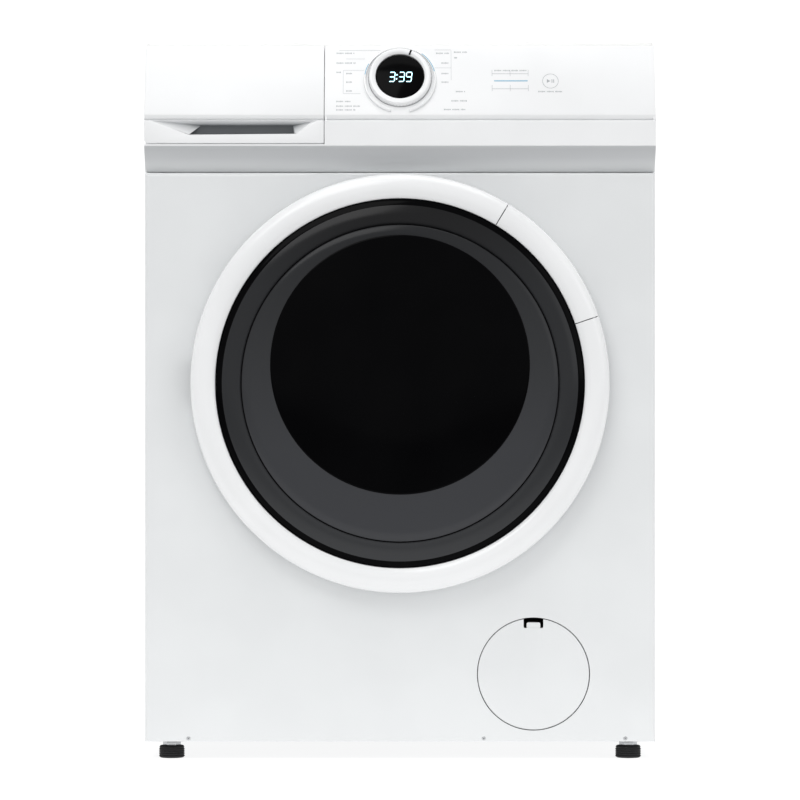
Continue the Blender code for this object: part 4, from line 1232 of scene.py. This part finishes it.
@dataclass
class Drawer:
    """The detergent drawer's scooped front."""

    left: float = -0.2975
    right: float = -0.0885
    scoop_mouth: tuple[Point, ...] = ((-0.2450, 0.7279), (-0.1206, 0.7290), (-0.0930, 0.7464), (-0.2955, 0.7464))
    scoop_back: tuple[Point, ...] = ((-0.2545, 0.7290), (-0.1235, 0.7290), (-0.1245, 0.7396), (-0.2320, 0.7396))
    # Outlines of the thin grey sheet that carries the scoop's painted shade, at its mouth and deep in it.
    shade_sheet_mouth: tuple[Point, ...] = ((-0.2452, 0.7283), (-0.1209, 0.7293), (-0.0962, 0.7444), (-0.2912, 0.7444))
    shade_sheet_back: tuple[Point, ...] = ((-0.2541, 0.7292), (-0.1237, 0.7292), (-0.1247, 0.7394), (-0.2318, 0.7394))
    scoop_depth: float = 0.0112
    shade_sheet_depth: float = 0.0110
    corner: float = 0.005

    def front(self, fascia: Fascia) -> Piece:
        """Builds the drawer front with its groove line, scoop and rounded lower corner.

        Args:
            fascia: The fascia whose outer line it carries on.

        Returns:
            The front.
        """
        low = fascia.band_bottom + 0.0028
        outer = fascia.skin_line() + [(FASCIA_Y, low + 0.0008), (FASCIA_Y + 0.0010, low)]
        inner = [(-0.2455, low), (-0.2455, FACE_BOTTOM), (-0.2173, 0.8257), (FASCIA_TOP_Y, 0.8257)]
        front = pushed("scooped_front", outer + inner, self.left, self.right, Way.ACROSS, bevel=0.0009)
        mouth = [(x, FASCIA_Y - 0.0005, z) for x, z in self.scoop_mouth]
        deep = [(x, FASCIA_Y + self.scoop_depth, z) for x, z in self.scoop_back]
        x, past, r = self.left, 0.001, self.corner
        corner = [(x - past, low - past), (x + r, low - past), *arc(r, 1.5 * pi, pi, 6, (x + r, low + r))]
        rounding = pushed("corner_cutter", [*corner, (x - past, low + r)], 0.24, 0.27)
        return carve(front, between("scoop_cutter", deep, mouth), rounding, bevel=0.0005)

    def shade_sheet(self) -> Piece:
        """Builds the thin grey shell that lines the scoop and carries its painted shade."""
        shape = bmesh.new()
        mouth = [shape.verts.new((x, FASCIA_Y + 0.0008, z)) for x, z in self.shade_sheet_mouth]
        deep = [shape.verts.new((x, FASCIA_Y + self.shade_sheet_depth, z)) for x, z in self.shade_sheet_back]
        shape.faces.new(deep)
        for i in range(len(deep)):
            j = (i + 1) % len(deep)
            shape.faces.new((mouth[i], mouth[j], deep[j], deep[i]))
        return piece_from("scoop_liner", shape)

    def build(self, fascia: Fascia) -> None:
        """Builds and dresses the drawer front, with the ledge that joins it to the drawer.

        Args:
            fascia: The fascia whose outer line it carries on.
        """
        fit(self.front(fascia), Surface.ABS, "drawer", "plastic_white", "drawer_front")
        # Painted shade: a thin grey sheet lines the scoop, greyer the deeper it goes.
        fit(self.shade_sheet(), Surface.SCOOP_SHADE, "drawer", "plastic_white")
        ledge = block("front_ledge", (-0.269, -0.2460, 0.7470), (-0.111, -0.2303, 0.7510), bevel=0.0008)
        fit(ledge, Surface.ABS, "drawer", "plastic_white")


@dataclass
class Door:
    """The door: white ring and handle, smoked window, glass bowl, inner frame and hinge."""

    handle_from: float = radians(18.7)
    handle_to: float = radians(58.8)
    slit: float = radians(0.13)
    ring_outline: tuple[Point, ...] = (
        (0.2400, 0.2495), (0.2418, 0.2495), (0.2433, 0.2535), (0.2433, 0.2680), (0.2424, 0.2718), (0.2405, 0.2748),
        (0.2375, 0.2771), (0.2340, 0.2786), (0.2270, 0.2795), (0.2220, 0.2791), (0.2185, 0.2782), (0.2157, 0.2768),
        (0.2143, 0.2752), (0.2143, 0.2680), (0.2166, 0.2680), (0.2180, 0.2745), (0.2330, 0.2752), (0.2395, 0.2690),
        (0.2408, 0.2640),
    )
    handle_outline: tuple[Point, ...] = (
        (0.2415, 0.2612), (0.2433, 0.2612), (0.2433, 0.2680), (0.2424, 0.2718), (0.2405, 0.2748), (0.2375, 0.2771),
        (0.2340, 0.2786), (0.2270, 0.2795), (0.2220, 0.2791), (0.2185, 0.2782), (0.2157, 0.2768), (0.2143, 0.2752),
        (0.2143, 0.2710), (0.2166, 0.2710), (0.2180, 0.2745), (0.2330, 0.2752), (0.2395, 0.2690),
    )
    ring_steps: int = 220
    window_steps: int = 160
    field_rise: float = 0.0213
    porthole: float = 0.1502
    screw_circle: float = 0.221
    screw_count: int = 10

    def ring(self) -> Piece:
        """Builds the white ring, open over the handle's arc down to its low inner wall."""
        arc_length = self.handle_to - self.handle_from
        free = TURN - arc_length - 2 * self.slit
        end = self.handle_to + self.slit
        main = turned("door_ring", self.ring_outline, steps=self.ring_steps, start=end, sweep=free)
        low = [(0.2400, 0.2495), (0.2418, 0.2495), (0.2433, 0.2535), (0.2433, 0.2590), (0.2416, 0.2590)]
        start, sweep = self.handle_from - 2 * self.slit, arc_length + 4 * self.slit
        base = turned("ring_base", low, steps=50, start=start, sweep=sweep)
        notch = block("hinge_notch", (-0.248, -0.269, AXIS_Z - 0.026), (-0.2375, -0.244, AXIS_Z + 0.026))
        return carve(joined("door_ring", [main, base]), notch)

    def handle(self) -> Piece:
        """Builds the handle, a length of the same ring section."""
        sweep = self.handle_to - self.handle_from - 2 * self.slit
        return turned("ring_handle", self.handle_outline, steps=56, start=self.handle_from + self.slit, sweep=sweep)

    def window(self) -> None:
        """Builds and dresses the black rim, the smoked band, its dark groove, the field and the porthole disc, whose
        black is partly painted shade.
        """
        r = self.porthole
        rim = (
            (0.2064, 0.2755), (0.2064, 0.2768), (0.2085, 0.2764), (0.2136, 0.2738), (0.2136, 0.2712), (0.2060, 0.2728),
        )
        band = (
            (0.1846, 0.2786), (0.1858, 0.2800), (0.1900, 0.2804), (0.1960, 0.2797), (0.2020, 0.2783), (0.2063, 0.2768),
            (0.2063, 0.2740), (0.1846, 0.2758),
        )
        groove = ((0.1828, 0.2776), (0.1828, 0.2782), (0.1850, 0.2782), (0.1850, 0.2758), (0.1828, 0.2758))
        field = (
            (0, 0.2813), (0.110, 0.2812), (0.150, 0.2810), (0.172, 0.2804), (0.1815, 0.2798), (0.1832, 0.2786),
            (0.1832, 0.2760), (0.150, 0.2776), (0, 0.2779),
        )
        # The porthole disc is solid black: the smoked cover's dark tint, and painted shade for the unlit drum seen
        # through the glass behind it.
        disc = (
            (0, 0.2825), (0.080, 0.2823), (r - 0.0020, 0.28175), (r - 0.0006, 0.28155), (r, 0.2812), (r, 0.2780),
            (0, 0.2780),
        )
        # The band and the field carry a painted reflection that makes them paler towards their foot.
        parts = (
            ("window_rim", rim, 0.0, Surface.BLACK_ACRYLIC, ()),
            ("window_band", band, 0.0, Surface.SMOKED_PAINTED_REFLECTION, ("door_window",)),
            ("window_groove", groove, 0.0, Surface.BLACK_ACRYLIC, ()),
            ("window_field", field, 0.0, Surface.SMOKED_FIELD_PAINTED_REFLECTION, ()),
            ("porthole_disc", disc, self.field_rise, Surface.BLACK_ACRYLIC, ()),
        )
        for name, outline, rise, surface, nodes in parts:
            made = turned(name, outline, (0, 0, AXIS_Z + rise), steps=self.window_steps)
            fit(made, surface, "door", "window_smoked", *nodes)

    def bowl(self) -> Piece:
        """Builds the pressed glass bowl with rounded steps."""
        outside = (
            (0.162, 0.2563), (0.1462, 0.2563), (0.1452, 0.2550), (0.1450, 0.2470), (0.1420, 0.2402), (0.1360, 0.2290),
            (0.1170, 0.1745), (0.1135, 0.1665), (0.1085, 0.1615), (0.1000, 0.1592), (0.060, 0.1572), (0, 0.156),
        )
        inside = (
            (0, 0.160), (0.060, 0.1612), (0.0985, 0.1632), (0.1050, 0.1652), (0.1090, 0.1690), (0.1300, 0.230),
            (0.1395, 0.2585), (0.1408, 0.2600), (0.162, 0.260),
        )
        return turned("glass_bowl", [*outside, *inside])

    def build(self) -> None:
        """Builds and dresses the door."""
        fit(self.ring(), Surface.GLOSS_ABS, "door", "plastic_white", "door_frame")
        fit(self.handle(), Surface.GLOSS_ABS, "handle", "plastic_white", "door_handle")
        self.window()
        fit(self.bowl(), Surface.GLASS, "door", "glass_clear", "door_glass")
        half_gap = pi / self.screw_count
        places = arc(self.screw_circle, half_gap, TURN + half_gap, self.screw_count, (0, AXIS_Z))[:-1]
        head = [(0, 0.2497), (0, 0.24965), (0.0034, 0.24952), (0.0034, 0.2497)]
        fit(studs("door_screws", head, places, 16), Surface.ZINC, "door", "steel")
        dress_nodes({Surface.ZINC: "hinge_leaf hinge_bracket door_hook"})


@dataclass
class Flap:
    """The round filter flap with its finger notch at the top."""

    centre: tuple[float, float, float] = (0.1556, 0.0, 0.1002)
    radius: float = 0.0652
    hole: float = 0.0659
    notch_half: float = 0.0115
    notch_low: float = 0.0535
    notch_past: float = 0.08
    tab_half: float = 0.0080
    tab_height: float = 0.0066

    def disc(self) -> Piece:
        """Builds the flap disc with its notch and light finger tab."""
        r, x, notch_z = self.radius, self.centre[0], self.centre[2] + self.notch_low
        outline = [(0, 0.2463), (r - 0.0018, 0.2463), (r - 0.0006, 0.24605), (r, 0.2452), (r, 0.2441), (0, 0.2441)]
        notch = oblong(x - self.notch_half, x + self.notch_half, notch_z, self.centre[2] + self.notch_past)
        cutter = pushed("notch_cutter", soft_corners(notch, 0.002, 3), 0.240, 0.250)
        disc = carve(turned("flap_disc", outline, self.centre), cutter)
        tongue = oblong(x - self.tab_half, x + self.tab_half, notch_z - 0.001, notch_z + self.tab_height)
        tab = pushed("flap_tab", soft_corners(tongue, 0.0022), 0.2441, 0.2458, bevel=0.0004)
        return joined("flap_disc", [disc, tab])

    def build(self) -> None:
        """Builds and dresses the flap and the pump parts behind it."""
        fit(self.disc(), Surface.ENAMEL, "flap", "plastic_white", "filter_flap")
        dress_nodes({Surface.POLYPROPYLENE: "pump_filter", Surface.BLACK_ACRYLIC: "pump_impeller"})


@dataclass
class Tub:
    """The suspended tub with its seal, weights, springs and drive."""

    spring_turns: int = 16
    steps_a_turn: int = 16
    spring_radius: float = 0.0108
    spring_wire: float = 0.0016
    spring_at: tuple[float, float] = (0.20, 0.06)
    spring_low: float = 0.628
    spring_high: float = 0.800
    hook: float = 0.016
    hook_rise: float = 0.006
    seal_corner: float = 0.0022
    fill_radius: float = 0.0124
    sump_radius: float = 0.0149

    def seal(self) -> Piece:
        """Builds the grey bellows seal round the door mouth."""
        outline = (
            (0.1500, 0.2462), (0.1660, 0.2475), (0.1670, 0.2440), (0.1740, 0.2438), (0.1745, 0.2250), (0.1600, 0.2155),
            (0.1600, 0.2080), (0.1715, 0.2000), (0.1715, 0.1800), (0.1656, 0.1800), (0.1656, 0.1940), (0.1680, 0.1985),
            (0.1572, 0.2065), (0.1572, 0.2168), (0.1720, 0.2265), (0.1718, 0.2412), (0.1600, 0.2415), (0.1500, 0.2440),
        )
        return turned("door_seal", soft_corners(outline, self.seal_corner, 3), steps=96, smooth_under=60)

    def spring(self, side: str, x: float) -> None:
        """Builds and dresses a coil spring with a straight hook at each end.

        Args:
            side: The side that it hangs on.
            x: How far right of the middle that is.
        """
        y, low, high = self.spring_at[1], self.spring_low + self.hook, self.spring_high - self.hook
        count = self.spring_turns * self.steps_a_turn
        round_axis = arc(self.spring_radius, 0, TURN * self.spring_turns, count, (x, y))
        turns = [(across, deep, low + (high - low) * i / count) for i, (across, deep) in enumerate(round_axis)]
        points = [(x, y, self.spring_low), (x, y, low - self.hook_rise), *turns]
        points += [(x, y, high + self.hook_rise), (x, y, self.spring_high)]
        coil = wire(f"coil_spring_{side}", points, self.spring_wire, sides=2)
        flex(coil, Surface.ZINC, f"spring_{side}")

    def hoses(self) -> None:
        """Builds and dresses the two corrugated hoses between the case and the tub."""
        fill = (
            (-0.190, 0.0, 0.6990), (-0.190, 0.0, 0.692), (-0.190, 0.008, 0.676), (-0.190, 0.030, 0.658),
            (-0.190, 0.036, 0.648),
        )
        hose = wire("fill_bellows", smooth_path(fill, 8), self.fill_radius, ribs=0.10, sides=6)
        flex(hose, Surface.RUBBER, "fill_hose")
        sump = (
            (0, -0.125, 0.1485), (0, -0.125, 0.140), (0.018, -0.150, 0.112), (0.050, -0.185, 0.1002),
            (0.075, -0.190, 0.1002), (0.0951, -0.190, 0.1002),
        )
        hose = wire("sump_bellows", smooth_path(sump), self.sump_radius, ribs=0.08, sides=6)
        flex(hose, Surface.RUBBER, "sump_hose")

    def build(self) -> None:
        """Builds and dresses the tub's parts."""
        flex(self.seal(), Surface.GREY_RUBBER, "door_gasket")
        self.spring("left", -self.spring_at[0])
        self.spring("right", self.spring_at[0])
        self.hoses()
        dress_nodes({
            Surface.POLYPROPYLENE: "tub_front tub_rear",
            Surface.ZINC: "front_bearing rear_bearing damper_rod_left damper_rod_right heater",
            Surface.CONCRETE: "upper_counterweight lower_counterweight",
            Surface.MOTOR_PAINT: "motor motor_pulley",
            Surface.RUBBER: "drive_belt",
        })


@dataclass
class Drum:
    """The perforated drum, its spider, pulley and paddles."""

    def build(self) -> None:
        """Dresses the drum's nodes."""
        dress_nodes({
            Surface.DRUM_STEEL: "drum",
            Surface.CAST_ALUMINIUM: "drum_spider drum_pulley",
            Surface.POLYPROPYLENE: "paddle_1 paddle_2 paddle_3",
        })


@dataclass
class Internals:
    """Everything else inside or under the case, and the feet."""

    foot_radius: float = 0.0150
    foot_top: float = 0.0140
    rib_count: int = 4
    rib_pitch: float = 0.0026
    stem_radius: float = 0.0045
    nut_radius: float = 0.0105

    def foot(self, number: int) -> None:
        """Builds and dresses one ribbed rubber foot with its zinc lock nut.

        Args:
            number: The foot's number, from 1 to 4.
        """
        low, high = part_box(f"foot_{number}")
        centre, body = ((low.x + high.x) / 2, (low.y + high.y) / 2, 0), f"foot_body_{number}"
        r, top = self.foot_radius, self.foot_top
        outline: list[Point] = [(0, 0.0), (r - 0.0016, 0.0), (r - 0.0006, 0.0008)]
        for i in range(self.rib_count):
            z = 0.0014 + self.rib_pitch * i
            outline += [(r, z), (r, z + 0.0012), (r - 0.0009, z + 0.0016), (r - 0.0009, z + 0.0022)]
        outline += [(r - 0.0003, top - 0.0016), (r - 0.0014, top), (0, top)]
        pad = turned(f"ribbed_pad_{number}", outline, centre, Way.UPRIGHT, steps=48)
        fit(pad, Surface.RUBBER, body, "rubber_black", f"foot_{number}")
        rod = [(0, top - 0.0001), (self.stem_radius, top - 0.0001), (self.stem_radius, high.z), (0, high.z)]
        stem = turned(f"foot_stem_{number}", rod, centre, Way.UPRIGHT, steps=24)
        hexagon = arc(self.nut_radius, 0, TURN, 6)[:-1]
        nut = pushed(f"foot_nut_{number}", hexagon, top + 0.0002, top + 0.0060, Way.UPRIGHT, centre, bevel=0.0006)
        fit(joined(f"foot_stem_{number}", [stem, nut]), Surface.ZINC, body, "steel")

    def build(self) -> None:
        """Builds the feet and dresses the inner nodes."""
        for number in range(1, 5):
            self.foot(number)
        dress_nodes({
            Surface.ENAMEL: "left_side_panel right_side_panel rear_panel",
            Surface.POLYPROPYLENE: "base_pan dispenser_housing drain_pump door_inner_frame",
            Surface.ABS: "detergent_drawer siphon_cap inlet_valve",
            Surface.BOARD: "control_board",
            Surface.BLACK_ACRYLIC: "door_lock cord_gland",
            Surface.GREY_RUBBER: "drain_hose",
            Surface.ZINC: "damper_cylinder_left damper_cylinder_right",
        })


@dataclass
class Studio:
    """The white room: floor, backdrop, lights and camera."""

    distance: float = 4.5465
    height: float = 0.4196
    lens: float = 166.0
    grey: float = 0.30
    near_glow: float = 0.86
    far_glow: float = 0.10
    glow_depths: tuple[float, float] = (-1.7, -0.72)
    half_floor: float = 10.0
    wall_depth: float = 9.0
    thickness: float = 0.02
    world_strength: float = 0.64

    def lit(self, name: str) -> bpy.types.Material:
        """Builds the white of a lit sweep, whose glow fades towards the front.

        Args:
            name: The material's name.

        Returns:
            The material.
        """
        shader = Shader(name)
        place = shader.add("TexCoord").outputs["Object"]
        depth = shader.add("SeparateXYZ", Vector=place).outputs["Y"]
        start, end = self.glow_depths
        reach = {"From_Min": start, "From_Max": end, "To_Min": self.far_glow, "To_Max": self.near_glow}
        glow = shader.add("MapRange", Value=depth, **reach).outputs["Result"]
        shader.set(Base_Color=(self.grey, self.grey, self.grey, 1.0), Roughness=0.9, Specular_IOR_Level=0.0)
        shader.set(Emission_Color=(1.0, 1.0, 1.0, 1.0), Emission_Strength=glow)
        return shader.material

    def light(self, name: str, place: Place, aim: Place, size: Point, power: float) -> Piece:
        """Adds a soft rectangular light.

        Args:
            name: The light's name.
            place: Where it stands.
            aim: What it points at.
            size: Its width and height.
            power: Its power in watts.

        Returns:
            The light.
        """
        lamp = bpy.data.lights.new(name, "AREA")
        lamp.shape, lamp.size, lamp.size_y, lamp.energy = "RECTANGLE", size[0], size[1], power
        made = bpy.data.objects.new(name, lamp)
        made.location = place
        made.rotation_euler = (Vector(aim) - Vector(place)).to_track_quat("-Z", "Y").to_euler()
        bpy.context.scene.collection.objects.link(made)
        return made

    def camera(self) -> Piece:
        """Adds the camera, level and straight in front."""
        camera = bpy.data.cameras.new("camera")
        camera.sensor_width, camera.lens = 36.0, self.lens
        eye = bpy.data.objects.new("camera", camera)
        eye.location = (0, -self.distance, self.height)
        eye.rotation_euler = (pi / 2, 0, 0)
        bpy.context.scene.collection.objects.link(eye)
        return eye

    def build(self) -> None:
        """Builds the studio and sets the camera."""
        half, deep, thick = self.half_floor, self.wall_depth, self.thickness
        floor = block("studio_floor", (-half, -half, -thick), (half, half, 0.0))
        wall = block("studio_backdrop", (-half, deep, -0.5), (half, deep + thick, 8))
        for made in (floor, wall):
            made.data.materials.append(self.lit(made.name))
        lamps = [
            self.light("key", (-1.0, -2.8, 2.8), (0, -0.2, 0.4), (2.0, 1.6), 26),
            self.light("fill", (2.4, -2.4, 1.4), (0, -0.2, 0.45), (1.6, 1.8), 7),
            self.light("top", (0, -0.9, 3.0), (0, -0.2, 0.5), (2.6, 1.6), 21),
        ]
        scene = bpy.context.scene
        scene.world = bpy.data.worlds.new("studio_world")
        scene.world.use_nodes = True
        background = scene.world.node_tree.nodes["Background"]
        background.inputs["Color"].default_value = (1, 1, 1, 1)
        background.inputs["Strength"].default_value = self.world_strength
        scene.view_settings.view_transform = "Standard"
        scene.camera = self.camera()


def main() -> None:
    """Loads the frame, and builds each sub-assembly."""
    logging.basicConfig(level=logging.INFO, format="%(name)s: %(message)s")
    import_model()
    flap, fascia, dial = Flap(), Fascia(), Dial()
    Casing().build(flap)
    fascia.build(dial)
    dial.build()
    Drawer().build(fascia)
    Door().build()
    flap.build()
    Tub().build()
    Drum().build()
    Internals().build()
    Studio().build()
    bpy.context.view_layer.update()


if __name__ == "__main__":
    main()
